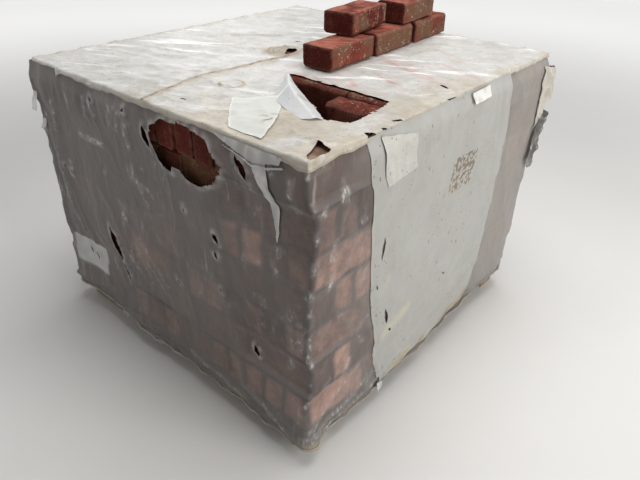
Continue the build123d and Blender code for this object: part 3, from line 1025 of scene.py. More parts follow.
    def looseness(self, a: float, z: float) -> float:
        """How far the film billows from the bricks.

        Args:
            a: length round the pack.
            z: the height.

        Returns:
            The distance in metres.
        """
        tight = ramp(abs(a - self.stops[1] - 0.06), 0.28, 0.05)
        broad = max(0.0, ripple(a, z, 4.5, 1.0)) * (0.0075 - 0.0055 * tight)
        folds = crease(a + 0.3 * z, z * 0.25, 9.0, 2.0, 7.0) * (0.0045 - 0.003 * tight)
        fine = crease(a, z * 0.6, 26.0, 3.0, 5.0) * 0.0016
        fine += ramp(z, 0.66, 0.80) * 0.0045 * crease(a, z * 0.15, 24.0, 15.0, 5.0) * (1 - tight)
        fine += self.slack(a, z)
        left = ramp(a, -0.36, -0.50) * (0.006 + 0.008 * crease(a * 2.2, z * 0.12, 9.0, 4.0, 3.0))
        low = ramp(z, 0.20, 0.06) * 0.008 * crease(a, z * 0.3, 12.0, 5.0, 2.0)
        low += ramp(z, 0.16, 0.08) * 0.005 * crease(a * 0.4, z * 3.0, 17.0, 16.0, 3.0)
        star = math.dist((a, z), self.star)
        ray = crease(math.atan2(z - self.star[1], a - self.star[0]), star * 0.4, 4.0, 6.0, 4.0)
        rays = ramp(star, 0.17, 0.02) * 0.004 * ray + self.folded(a, z)[0]
        return (broad + folds + fine) * ramp(self.pack.top - z, 0.0, 0.05) + left + low + rays

    def folded(self, a: float, z: float) -> tuple[float, float]:
        """Find what the long folds do at a point.

        Args:
            a: length round the pack.
            z: the height.

        Returns:
            How high they stand, and how strong the highlight painted along them is.
        """
        height = white = 0.0
        lines = self.fold_lines if self.folds_from < a < self.folds_to else ()
        for line, rise, shade in lines:
            if line.near((a, z), self.lift_reach):
                share = bell(line.nearest((a, z))[0], self.fold_width)
                height = max(height, rise * share)
                white = max(white, shade * share)
        return height, white

    def lip(self, a: float, z: float) -> float:
        """How much a torn edge lifts at a point, from 0 to 1."""
        close = [hole.nearest((a, z))[0] for hole in self.holes if hole.near((a, z), self.lift_reach)]
        return max((ramp(away, self.lift_reach, 0.0) for away in close), default=0.0)

    def hem(self, a: float) -> float:
        """Find where the film ends.

        Args:
            a: length round the pack.

        Returns:
            The height of its hem.
        """
        if a > self.stops[6]:
            return self.open_hem + 0.003 * ripple(a, 0.0, 9.0, 9.0)
        low = self.hem_low + 0.006 * ripple(a, 0.0, 5.0, 8.0) + 0.0035 * ripple(a, 0.0, 46.0, 8.5)
        low += (self.hem_left - self.hem_low) * ramp(a, 0.1, -0.5)
        if self.stops[2] < a < self.stops[4]:
            low += 0.030 * ramp(a, self.stops[2] + 0.15, self.stops[3] - 0.1)
        return low

    def skin(self, a: float, z: float, lift: float = 0.0) -> Vector:
        """A point that lies on the film, raised by lift."""
        spot, out, _ = self.outward(a, z)
        return spot + out * (self.looseness(a, z) + lift)

    def surface(self, a: float, z: float) -> Spot:
        """Place a point of the film.

        Args:
            a: length round the pack.
            z: its nominal height, below 0 on the rolled hem.

        Returns:
            The point and its values.
        """
        hem = self.hem(a)
        height = z
        if z < self.pack.deck:
            height = hem + (self.pack.deck - hem) * max(0.0, z) / self.pack.deck
        spot, out, gap = self.outward(a, height)
        loose = self.looseness(a, height)
        torn = self.lip(a, height)
        gathered = ramp(abs(ripple(a, 0.0, 3.0, 4.5)), 0.4, 0.0)
        crumpled = around((a, height), (self.stops[1] + 0.005, self.hem_low), 0.060, 0.015)
        loose += 0.009 * crumpled * crease(a, height, 38.0, 20.0, 2.0)
        tuck = ramp(height, self.pack.deck, hem) * (0.004 - self.hem_tuck * gathered * 0.5)
        place = spot + out * (loose + tuck + torn * 0.004)
        if z < 0.0:
            turn = -z / self.roll
            size = self.roll * (0.25 + 0.9 * abs(ripple(a, 0.0, 21.0, 2.0)) + 0.3 * ripple(a, 0.0, 70.0, 2.5))
            place += out * (size * (1 - math.cos(turn))) + Vector((0, 0, -size * math.sin(turn)))
        return Spot(place, self.values(a, height, gap + loose, torn, z < 0.004))

    def touch(self, a: float, z: float, gap: float) -> tuple[float, float]:
        """How clearly the brick behind shows at a point, from 0 to 1.

        Args:
            a: length round the pack.
            z: the height.
            gap: how far the film stands off there.

        Returns:
            How hard the brick presses, from 0 over a joint to 1, and the brick's own shade.
        """
        if z < self.pack.deck or z > self.pack.top:
            return 0.0, 0.5
        side = self.stretch(a)[0]
        pitch = (self.pack.top - self.pack.deck) / self.pack.courses
        level = min(self.pack.courses - 1, int((z - self.pack.deck) / pitch))
        low, high = self.pack.boxes[level]
        axis = side % 2
        spot = self.outward(a, z)[0][axis] - low[axis]
        length = high[axis] - low[axis]
        ends = (level % 2 == 0) != (side % 2 == 1)
        face, gap_between = (0.065, 0.0056) if ends else (0.210, 0.006)
        count = max(1, round(length / (face + gap_between)))
        share = spot / length * count
        index = math.floor(share)
        beside = (0.5 - abs(share - index - 0.5)) * length / count
        above = min(z - self.pack.deck - level * pitch, self.pack.deck + (level + 1) * pitch - z)
        edge = ramp(min(beside, above), 0.000, 0.015)
        own = 0.5 + 0.5 * noise.cell(Vector((index + 0.5, level + 0.5, side + 0.5)))
        shade = 0.5 + 0.5 * noise.cell(Vector((index + 0.5, level + 7.5, side + 0.5)))
        if side < 2:
            named = self.near_bricks[side][level]
            place = int(index if side else count - 1 - index)
            if 0 <= place < len(named):
                own = 0.15 + 0.85 * named[place]
                shade = named[place]
        return edge * ramp(gap, 0.026, 0.004) * (0.45 + 0.55 * own), shade

    def values(self, a: float, z: float, gap: float, torn: float, at_hem: bool) -> dict[str, float]:
        """Work out what the film's finish reads at a point.

        Args:
            a: length round the pack.
            z: the height.
            gap: how far the film stands off the bricks.
            torn: how near a torn edge is, from 0 to 1.
            at_hem: whether the point is on the rolled hem.

        Returns:
            Haze, whiteness, painted highlights, dirt, how clearly brick shows, and the brick's shade.
        """
        front = ramp(a, self.stops[1] + 0.03, self.stops[1] - 0.03)
        far = ramp(a, self.stops[2] + 0.75, self.stops[2] + 0.9)
        unseen = ramp(a, self.stops[3], self.stops[4] + 0.15)
        unseen *= ramp(self.stops[8] - a, 0.02, 0.18)
        thin = unseen * blotches(a, z, 2.6, 50.0, -0.25, 0.35)
        beyond = ramp(a, self.stops[2] + 0.85, self.stops[2] + 0.93)
        haze = min(1.0, gap / 0.011) + 0.34 * front * ramp(z, 0.80, 0.55)
        haze += 0.5 * ramp(a, -0.40, -0.50) + 0.5 * beyond * (1 - 0.7 * thin) - 0.35 * thin
        corner = ramp(a, -0.45, 0.30) * ramp(z + 0.55 * (self.width / 2 - a), 1.15, 0.55)
        clear = (0.14 + 0.66 * corner) * front + (1.0 - 0.72 * far) * (1 - front) + 0.42 * thin
        drift = 0.009 * ripple(a, z, 19.0, 34.0), 0.009 * ripple(a, z, 17.0, 35.0)
        pressed, own = self.touch(a + drift[0], z + drift[1], gap)
        own -= 0.30 * (1 - front) * ramp(z, 0.55, 0.80)
        blush = around((a, 1.4 * z), self.blush, 0.13, 0.02)
        touch = max(pressed * clear * (0.8 + 0.5 * ripple(a, z, 5.0, 14.0)), 0.50 * blush)
        patch = max(abs(a - self.patch[0]) / self.patch_half[0], abs(z - self.patch[1]) / self.patch_half[1])
        white = max(
            0.55 * torn * (0.5 + ripple(a, z, 60.0, 3.0)),
            (0.72 + 0.2 * ripple(a, z, 30.0, 39.0)) * ramp(patch, 1.06, 0.96),
            0.20 * far * (1 - 0.5 * thin),
        )
        # Painted highlights on creases, folds, the near corner and a glinting spot.
        scuff = self.painted_highlights(a, z)
        dirt = 0.45 * ramp(z, 0.13, 0.05) + 0.35 * max(0.0, ripple(a, z, 8.0, 13.0))
        if a < self.stops[3]:
            dirt = max(dirt, 0.50 * far)
        if at_hem:
            white, scuff = 0.34, 0.0
            dirt = 0.58 + 0.3 * ripple(a, z, 30.0, 18.0)
        # The film where the hem gathers at the near corner is made darker and browner.
        gathered = around((a, z), (self.stops[1], self.hem_low), 0.045, 0.010)
        dirt = max(dirt, gathered * (0.75 + 0.3 * ripple(a, z, 60.0, 19.0)))
        return {
            "haze": haze, "white": max(0.0, white), "scuff": scuff, "dirt": dirt,
            "touch": max(0.0, touch), "tone": max(own, 0.8 * blush),
        }

    def painted_highlights(self, a: float, z: float) -> float:
        """Find the highlights painted on the film's creases and folds, near the front corner and round a
        glinting spot.

        Args:
            a: length round the pack.
            z: the height.

        Returns:
            The painted highlights, from 0 to 1.
        """
        creased = crease(a * 1.3, z * 0.5, 17.0, 11.0, 16.0) * blotches(a, z, 6.0, 12.0, 0.05, 0.4)
        near_corner = ramp(abs(a - self.stops[1] - 0.04), 0.26, 0.10)
        corner = ramp(abs(a - (self.stops[1] + self.stops[2]) / 2), 0.009, 0.002)
        return max(
            0.20 * creased,
            self.folded(a, z)[1],
            0.40 * near_corner * blotches(a, z, 24.0, 36.0, 0.30, 0.62),
            0.42 * corner * blotches(a, z, 30.0, 17.0, -0.1, 0.4),
            0.42 * around((a, z), self.smear_and_glint, 0.115, 0.03) * blotches(a, z, 26.0, 38.0, 0.0, 0.4),
        )

    def build(self) -> Piece:
        """Make the film.

        Returns:
            The film's object.
        """
        spans = [hole.spans for hole in self.holes[1:]]
        columns = lines_between(*self.stops[:2], self.fine_step, [span[0] for span in spans])[:-1]
        steps = (self.bend_step, self.fine_step, *(self.bend_step, self.coarse_step) * 2, self.bend_step)
        for start, end, step in zip(self.stops[1:], self.stops[2:], steps):
            count = max(2, round((end - start) / step))
            columns += [start + (end - start) * k / count for k in range(count)]
        short = [span[1] for span in spans if span[1][1] - span[1][0] < 0.06]
        rows = lines_between(0.0, self.pack.top, self.fine_step, short)
        rolled = range(self.roll_rows, 0, -1)
        rows = [-self.roll * self.roll_turn * k / self.roll_rows for k in rolled] + rows
        film = TornSheet("milky_film", columns, rows, self.surface, None, self.holes, True).build()
        dress(film, self.finish.build())
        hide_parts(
            "film_wrap", "film_skirt_front", "film_skirt_back", "film_skirt_right", "film_skirt_left",
            "film_skirt_corners",
        )
        2 * (self.width + self.depth)
        return film


@dataclass
class TopSheet:
    """The white sheet over the top, with its ragged edges hanging over the film."""

    pack: Pack
    finish: SheetFinish
    step: float = 0.0085
    bend: float = 0.003
    drop: float = 0.011
    corner_drop: float = 0.052
    edge: float = 0.040
    over_bricks: float = 0.002
    brown_tear: Points = (
        (-0.068, 0.008), (-0.058, 0.032), (-0.036, 0.016), (-0.022, -0.010), (-0.020, -0.030),
        (-0.040, -0.034), (-0.052, -0.016),
    )
    lift: float = 0.0008
    pit: Points = (
        (0.106, -0.186), (0.112, -0.171), (0.118, -0.160), (0.230, -0.166), (0.330, -0.164), (0.438, -0.172),
        (0.452, -0.240), (0.462, -0.316), (0.458, -0.338), (0.452, -0.354), (0.427, -0.358), (0.402, -0.370),
    )
    corner_tear: Points = (
        (0.516, -0.553), (0.502, -0.540), (0.488, -0.502), (0.480, -0.478), (0.502, -0.487), (0.524, -0.492),
        (0.533, -0.510), (0.526, -0.548),
    )
    edge_tear: Points = (
        (0.512, -0.372), (0.524, -0.380), (0.552, -0.383), (0.556, -0.362), (0.538, -0.352),
    )
    slits: Sequence[Stroke] = (
        ((0.456, 0.024), (0.490, 0.014), 0.008), ((0.520, -0.330), (0.545, -0.314), 0.010),
        ((0.514, -0.278), (0.540, -0.252), 0.009), ((0.530, -0.064), (0.548, -0.010), 0.014),
        ((-0.128, 0.100), (-0.110, 0.118), 0.010), ((0.062, -0.500), (0.080, -0.492), 0.005),
    )
    seam: Points = (
        (0.004, -0.566), (-0.020, -0.460), (-0.044, -0.352), (-0.032, -0.200), (-0.015, -0.063),
        (-0.037, 0.076),
    )
    ridges: Sequence[Stroke] = (
        ((-0.119, -0.038), (-0.064, -0.080), 0.006), ((-0.104, -0.030), (-0.078, 0.020), 0.012),
        ((-0.090, -0.052), (-0.060, -0.010), 0.010), ((-0.110, 0.040), (-0.020, -0.027), 0.007),
        ((-0.081, 0.051), (-0.060, -0.020), 0.006), ((0.045, -0.363), (0.037, -0.312), 0.004),
        ((0.440, -0.150), (0.530, -0.060), 0.004), ((0.430, -0.120), (0.520, 0.020), 0.004),
        ((-0.440, -0.520), (-0.250, -0.420), 0.005), ((-0.480, -0.300), (-0.300, -0.120), 0.004),
        ((-0.420, -0.060), (-0.180, 0.180), 0.005), ((-0.400, 0.260), (-0.150, 0.420), 0.004),
    )
    smears: Sequence[tuple[Point, Point]] = (
        ((0.260, 0.120), (0.500, 0.030)), ((0.300, -0.010), (0.430, -0.090)),
        ((0.360, 0.170), (0.520, 0.120)), ((0.250, 0.300), (0.400, 0.260)),
        ((0.200, -0.120), (0.280, -0.130)),
    )
    ring_middle: Point = (0.068, -0.340)
    ring_size: float = 0.034
    worn_corner: Point = (0.49, -0.50)
    brown_middle: Point = (-0.065, -0.010)
    seam_span: Point = (-0.052, 0.008)

    def __post_init__(self) -> None:
        """Take the sheet's place from the top course and the loose bricks."""
        low, high = self.pack.boxes[-1]
        self.middle = ((low.x + high.x) / 2, (low.y + high.y) / 2)
        self.half = ((high.x - low.x) / 2 + self.over_bricks, (high.y - low.y) / 2 + self.over_bricks)
        self.near_left = (-self.half[0], -self.half[1])
        self.loose = [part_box(f"loose_brick_{number}") for number in (1, 2, 3)]
        self.holes = [frayed(self.pit, 0.011, 0.004, 1.0), frayed(self.corner_tear, 0.008, 0.003, 2.0)]
        self.holes += [frayed(self.brown_tear, 0.009, 0.004, 4.0), Outline(self.edge_tear)]
        self.holes += [sliver(*slit) for slit in self.slits]

    def from_loose(self, a: float, b: float) -> list[float]:
        """Distance from each loose brick that lies on the sheet."""
        return [max(low[0] - a, a - high[0], low[1] - b, b - high[1]) for low, high in self.loose]

    def wrinkle(self, a: float, b: float) -> float:
        """Find how the sheet crumples.

        Args:
            a: the place across the sheet.
            b: the place along it, from front to back.

        Returns:
            The height above the bricks.
        """
        height = 0.0040 * max(0.0, ripple(a, b, 3.6, 21.0)) + 0.0018 * crease(a, b, 13.0, 22.0, 4.0)
        height += 0.0034 * crease(a + 0.5 * b, b - 0.3 * a, 5.0, 23.0, 12.0)
        height += 0.0010 * crease(a, b, 34.0, 24.0, 3.0)
        height += 0.0055 * crease(a, b, 21.0, 35.0, 3.0) * around((a, b), self.worn_corner, 0.13, 0.03)
        height += 0.0060 * crease(a, b, 30.0, 36.0, 2.0) * around((a, b), self.ring_middle, 0.050, 0.02)
        front = ramp(b, -0.10, -0.34) * ramp(a, 0.20, -0.10)
        height += front * 0.0032 * crease(a + 0.5 * b, 6.0 * (b - 0.22 * a), 4.2, 31.0, 3.0)
        seam = 0.008 + 0.003 * ripple(a, b, 22.0, 25.0)
        height = max(height, seam * bell(from_line((a, b), self.seam), 0.008))
        for start, end, rise in self.ridges:
            height = max(height, rise * bell(from_line((a, b), (start, end)), 0.007))
        for away in self.from_loose(a, b):
            height *= ramp(away, -0.004, 0.020)
        return height

    def hang(self, a: float, b: float) -> float:
        """How far the sheet's edge hangs below the top.

        Args:
            a: the place across the pack.
            b: the place along it.

        Returns:
            The drop in metres.
        """
        corner = around((a, b), self.near_left, 0.19, 0.03)
        near = around((a, b), (self.half[0], -self.half[1]), 0.10, 0.02)
        wave = 0.008 * ripple(a, b, 7.0, 26.0) + 0.0050 * ripple(a, b, 38.0, 27.0)
        return max(0.004, self.drop + self.corner_drop * corner + 0.008 * near + wave)

    def surface(self, a: float, b: float) -> Spot:
        """Place a point of the sheet, flat on the bricks or turned down past their edge.

        Args:
            a: the place across the sheet, laid flat.
            b: the place along it.

        Returns:
            The point and its values.
        """
        x, y = a - self.middle[0], b - self.middle[1]
        beyond = Vector((max(0.0, abs(x) - self.half[0]), max(0.0, abs(y) - self.half[1])))
        reach = beyond.length
        height = self.pack.top + self.lift
        values = self.values(a, b, reach)
        if reach < 1e-6:
            return Spot(Vector((a, b, height + self.wrinkle(a, b))), values)
        way = Vector((math.copysign(beyond.x, x), math.copysign(beyond.y, y), 0.0)).normalized()
        edge = Vector((
            self.middle[0] + max(-self.half[0], min(self.half[0], x)),
            self.middle[1] + max(-self.half[1], min(self.half[1], y)),
            height,
        ))
        share = min(1.0, reach / self.edge)
        down = share * self.hang(edge.x, edge.y) + self.bend * 0.2
        turn = min(math.pi / 2, down / self.bend)
        out = self.bend * math.sin(turn) * 0.9
        fall = down if turn >= math.pi / 2 else self.bend * (1 - math.cos(turn))
        flare = share ** 2 * (0.0012 + 0.0045 * max(0.0, ripple(edge.x, edge.y, 14.0, 28.0)))
        gathered = around((a, b), self.near_left, 0.20, 0.05)
        flare += gathered * share * 0.007 * crease(edge.x, edge.y, 26.0, 40.0, 2.0)
        rise = self.wrinkle(edge.x, edge.y) * (1 - share) - fall
        return Spot(edge + way * (out + flare) + Vector((0, 0, rise)), values)

    def values(self, a: float, b: float, reach: float) -> dict[str, float]:
        """Work out what the sheet's finish reads at a point.

        Args:
            a: the place across the sheet.
            b: the place along it.
            reach: how far it is past the edge of the bricks.

        Returns:
            Dirt, clay smears and stain.
        """
        seam = from_line((a, b), self.seam)
        ring = self.ring_size * (1 + 0.3 * ripple(a, b, 20.0, 29.0))
        ring = abs(math.dist((a, b), self.ring_middle) - ring)
        dirt = max(
            ramp(seam, 0.010, 0.005) * (0.93 + 0.14 * ripple(a, b, 60.0, 33.0)),
            0.50 * ramp(seam, 0.032, 0.006),
            0.80 * around((a, b), self.brown_middle, 0.100, 0.045),
            (0.55 + 0.25 * ripple(a, b, 9.0, 41.0)) * ramp(a - 1.2 * b, 0.36, 0.80),
            (0.75 + 0.5 * ripple(a, b, 40.0, 37.0)) * ramp(ring, 0.012, 0.003),
            0.8 * ramp(reach, 0.018, 0.034),
            0.45 * ramp(abs(a), 0.45, 0.52),
            0.50 * ramp(a, 0.33, 0.47) * ramp(abs(b + 0.02), 0.22, 0.12),
        )
        lip = min(hole.nearest((a, b))[0] if hole.near((a, b), 0.05) else 1.0 for hole in self.holes[:2])
        smear = max(
            *(ramp(from_line((a, b), line), 0.045, 0.010) for line in self.smears),
            *(0.75 * ramp(away, 0.045, 0.0) for away in self.from_loose(a, b)),
            0.7 * ramp(lip, 0.035, 0.0),
        )
        return {"dirt": dirt, "smear": 0.7 * smear, "stain": 0.25 * max(0.0, ripple(a, b, 5.0, 30.0))}

    def build(self) -> Piece:
        """Make the sheet.

        Returns:
            The sheet's object.
        """
        spans = [hole.spans for hole in self.holes[1:]]
        low = [self.middle[axis] - self.half[axis] - self.edge for axis in (0, 1)]
        high = [self.middle[axis] + self.half[axis] + self.edge for axis in (0, 1)]
        columns = lines_between(low[0], high[0], self.step, [span[0] for span in spans] + [self.seam_span])
        rows = lines_between(low[1], high[1], self.step, [span[1] for span in spans])
        sheet = TornSheet("white_top_sheet", columns, rows, self.surface, None, self.holes).build()
        dress(sheet, self.finish.build())
        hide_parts("top_sheet")
        high[0] - low[0]
        high[1] - low[1]
        return sheet


@dataclass
class SideSheet:
    """The white sheet that hangs down the right side over the film."""

    film: FilmWrap
    finish: SheetFinish
    step: float = 0.0085
    off_film: float = 0.0018
    top: float = 0.8325
    left_edge: Points = (
        (-0.380, 0.8325), (-0.372, 0.740), (-0.362, 0.640), (-0.352, 0.540), (-0.338, 0.430), (-0.322, 0.330),
        (-0.306, 0.240), (-0.284, 0.150), (-0.268, 0.095), (-0.256, 0.068),
    )
    bottom_edge: Points = (
        (-0.200, 0.074), (-0.120, 0.082), (-0.020, 0.084), (0.080, 0.092), (0.180, 0.104), (0.270, 0.116),
    )
    right_edge: Points = (
        (0.300, 0.190), (0.315, 0.326), (0.322, 0.440), (0.320, 0.540), (0.311, 0.661), (0.304, 0.760),
        (0.300, 0.8325),
    )
    slits: Sequence[Stroke] = (
        ((-0.303, 0.565), (-0.301, 0.500), 0.011), ((-0.262, 0.332), (-0.252, 0.272), 0.014),
        ((-0.240, 0.250), (-0.228, 0.236), 0.007), ((-0.312, 0.430), (-0.306, 0.412), 0.005),
        ((0.040, 0.300), (0.052, 0.288), 0.004),
    )
    creases: Sequence[Fold] = (
        ((-0.250, 0.100), (0.240, 0.215), 0.0060, 0.010), ((-0.235, 0.082), (0.120, 0.150), 0.0050, 0.007),
        ((-0.160, 0.086), (0.260, 0.180), 0.0040, 0.006), ((-0.060, 0.180), (0.200, 0.330), 0.0035, 0.010),
        ((-0.212, 0.829), (-0.190, 0.740), 0.0050, 0.007), ((-0.150, 0.829), (-0.142, 0.720), 0.0060, 0.007),
        ((-0.095, 0.829), (-0.092, 0.750), 0.0050, 0.006), ((-0.040, 0.829), (-0.044, 0.735), 0.0060, 0.007),
        ((0.220, 0.829), (0.236, 0.600), 0.0040, 0.010), ((0.262, 0.800), (0.286, 0.420), 0.0035, 0.012),
    )
    print_low: Point = (-0.004, 0.563)
    print_high: Point = (0.121, 0.665)
    print_cells: Point = (21, 17)
    yellow_streak: Points = ((-0.258, 0.243), (-0.145, 0.274))
    yellow_spot: Point = (-0.266, 0.417)

    def surface(self, y: float, z: float) -> Spot:
        """Place a point of the sheet over the film.

        Args:
            y: the place along the right side.
            z: the height.

        Returns:
            The point and its values.
        """
        a = self.film.stops[2] + y + self.film.depth / 2 - self.film.corner
        rise = 0.0035 * max(0.0, ripple(y, z, 3.0, 41.0)) + 0.0007 * crease(y, z, 9.0, 42.0, 4.0)
        for start, end, height, width in self.creases:
            rise = max(rise, height * bell(from_line((y, z), (start, end)), width))
        edge = from_line((y, z), self.left_edge)
        rise += 0.0012 * ramp(edge, 0.012, 0.0) * (0.5 + ripple(y, z, 25.0, 44.0))
        depth = self.film.pack.top - z
        rise *= ramp(depth, 0.0, 0.03)
        smoothed = sum(self.film.looseness(a + shift, z) for shift in (-0.02, 0.0, 0.02)) / 3 + 0.0012
        spot, out, _ = self.film.outward(a, z)
        straight = 0.85 * (self.film.pack.hull(0, 1) - spot.x) * ramp(depth, 0.0, 0.10)
        near = ramp(edge, 0.035, 0.006) * ramp(y, -0.15, -0.20)
        lift = (max(smoothed, straight) + self.off_film + rise) * (1 - near)
        lift += near * (self.film.looseness(a, z) + 0.0016)
        return Spot(spot + out * lift, self.values(y, z))

    def values(self, y: float, z: float) -> dict[str, float]:
        """Work out what the sheet's finish reads at a point.

        Args:
            y: the place along the right side.
            z: the height.

        Returns:
            Dirt, clay smears and stain.
        """
        low = from_line((y, z), self.bottom_edge)
        band = crease(0.5 * (y - 2.2 * z), 2.6 * (z - 0.25 * y), 17.0, 45.0, 2.0)
        dirt = ramp(low, 0.055, 0.002) * ramp(band, 0.30, 0.75)
        dirt = max(dirt, 0.30 * ramp(z, 0.19, 0.10))
        ends = zip((y, z), self.print_low, self.print_high)
        across, up = ((value - start) / (end - start) for value, start, end in ends)
        if 0 < across < 1 and 0 < up < 1:
            cell = Vector((across * self.print_cells[0] + 0.5, up * self.print_cells[1] + 0.5, 4.0))
            dirt = max(dirt, 0.985 if noise.cell(cell) > -0.28 else dirt)
        stain = max(
            0.50 * ramp(from_line((y, z), self.yellow_streak), 0.045, 0.005),
            0.40 * around((y, z), self.yellow_spot, 0.045, 0.010),
            0.5 * ramp(low, 0.030, 0.004) * blotches(y, z, 9.0, 46.0, -0.1, 0.2),
        )
        return {"dirt": dirt, "smear": 0.0, "stain": stain}

    def build(self) -> Piece:
        """Make the sheet.

        Returns:
            The sheet's object.
        """
        outline = frayed([*self.left_edge, *self.bottom_edge, *self.right_edge], 0.020, 0.0010, 6.0)
        holes = [sliver(*slit) for slit in self.slits]
        (left, right), (low, high) = outline.spans
        print_y, print_z = zip(self.print_low, self.print_high)
        fine_y = [*(hole.spans[0] for hole in holes), print_y]
        fine_z = [*(hole.spans[1] for hole in holes if hole.spans[1][0] < 0.45), print_z]
        columns = lines_between(left - 0.004, right + 0.004, self.step, fine_y)
        rows = lines_between(low - 0.004, min(high, self.top), self.step, fine_z)
        sheet = TornSheet("white_side_sheet", columns, rows, self.surface, outline, holes).build()
        dress(sheet, self.finish.build())
        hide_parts("side_sheet")
        right - left
        high - low
        return sheet


@dataclass
class TurnedFlap:
    """The film torn from the pit, folded back along its left edge into a crumpled ridge."""

    pack: Pack
    finish: FilmFinish
    start: Point = (0.106, -0.186)
    end: Point = (0.402, -0.370)
    step: float = 0.0035
    ridge: float = 0.030
    ridge_share: float = 0.42
    peak: float = 0.150
    area_share: float = 0.72
    yellow_spot: Point = (0.235, 0.016)
    outline: Points = (
        (0.026, 0.000), (0.080, 0.001), (0.150, -0.002), (0.230, 0.001), (0.320, 0.000), (0.353, 0.005),
        (0.348, 0.028), (0.334, 0.050), (0.262, 0.066), (0.190, 0.076), (0.120, 0.050), (0.066, 0.022),
        (0.036, 0.009),
    )

    def surface(self, along: float, out: float) -> Spot:
        """Place a point of the flap.

        Args:
            along: the distance along the torn edge.
            out: the distance out from it.

        Returns:
            The point and its values.
        """
        run = math.dist(self.start, self.end)
        ahead = Vector(((self.end[0] - self.start[0]) / run, (self.end[1] - self.start[1]) / run, 0.0))
        away = Vector((ahead.y, -ahead.x, 0.0))
        foot = 0.014 + 0.064 * ramp(along, 0.02, 0.20) - 0.026 * ramp(along, 0.20, 0.35)
        crest = self.ridge_share * foot
        rising = max(0.0, out + 0.004) / crest
        falling = max(0.0, foot - out) / max(0.004, foot - crest)
        tent = min(1.0, rising, falling)
        fold = abs((along - self.peak) - 1.1 * (out - crest)) / 0.055
        hump = ramp(along, 0.0, 0.10) * (1.0 - 0.80 * ramp(along, 0.14, 0.35))
        height = self.ridge * tent * hump * (0.70 + 0.30 * min(1.0, fold))
        height += 0.0014 * crease(along, out, 30.0, 52.0, 3.0) * tent
        spot = Vector((*self.start, self.pack.top + 0.0035)) + ahead * along + away * out
        spot.z += max(0.0, height)
        # Painted highlights along the fold lines and the crest; the flap is also whiter past its crest.
        line = ramp(abs(fold - 0.05), 0.10, 0.02) + ramp(abs(out - crest), 0.004, 0.001)
        white = 0.34 + 0.22 * ramp(out, crest - 0.004, crest + 0.004) + 0.38 * min(1.0, line)
        yellow = 0.7 * around((along, out), self.yellow_spot, 0.026, 0.010)
        white = min(0.95, white)
        return Spot(spot, {"haze": 0.55, "white": white, "dirt": yellow, "touch": 0.0, "tone": 0.5})

    def build(self) -> Piece:
        """Make the flap.

        Returns:
            The flap's object.
        """
        outline = frayed(self.outline, 0.010, 0.002, 7.0)
        flap = cut_piece("folded_back_flap", outline, self.step, self.surface)
        dress(flap, self.finish.build())
        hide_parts("turned_flap")
        flat = outline.size
        return flap


@dataclass
class LyingFlap:
    """A torn piece of film that lies flat on the top sheet, beside the fold."""

    sheet: TopSheet
    finish: FilmFinish
    step: float = 0.004
    area_share: float = 0.55
    dirty: Point = (0.318, -0.452)
    outline: Points = (
        (0.150, -0.413), (0.194, -0.371), (0.234, -0.334), (0.278, -0.378), (0.325, -0.438), (0.356, -0.492),
        (0.385, -0.545), (0.330, -0.545), (0.286, -0.545), (0.215, -0.480),
    )

    def surface(self, x: float, y: float) -> Spot:
        """Place a point of the flap over the top sheet.

        Args:
            x: the place across the pack.
            y: the place along it.

        Returns:
            The point and its values.
        """
        height = self.sheet.pack.top + self.sheet.lift + self.sheet.wrinkle(x, y) + 0.0012
        height += 0.0028 * crease(x - y, x + y, 6.0, 61.0, 6.0) + 0.0006 * crease(x, y, 44.0, 62.0, 3.0)
        white = 0.86 + 0.12 * ramp(Outline(self.outline).nearest((x, y))[0], 0.006, 0.0)
        dirt = 0.15 + 0.85 * around((x, y), self.dirty, 0.05, 0.01) * blotches(x, y, 70.0, 63.0, 0.1, 0.4)
        return Spot(Vector((x, y, height)), {"haze": 0.35, "white": white, "dirt": dirt, "touch": 0.0})

    def build(self) -> Piece:
        """Make the flap.

        Returns:
            The flap's object.
        """
        outline = frayed(self.outline, 0.012, 0.0025, 8.0)
        flap = cut_piece("lying_film_flap", outline, self.step, self.surface)
        dress(flap, self.finish.build())
        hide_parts("lying_flap")
        flat = outline.size
        return flap


class Cloth(Enum):
    """What a small piece is cut from, with the record's slot."""

    FILM = ("film", "milky_film")
    DARK = ("dark film", "milky_film")
    LIGHT = ("light film", "white_sheet")
    PAPER = ("paper", "white_sheet")

    @property
    def slot(self) -> str:
        """The record's slot."""
        return self.value[1]


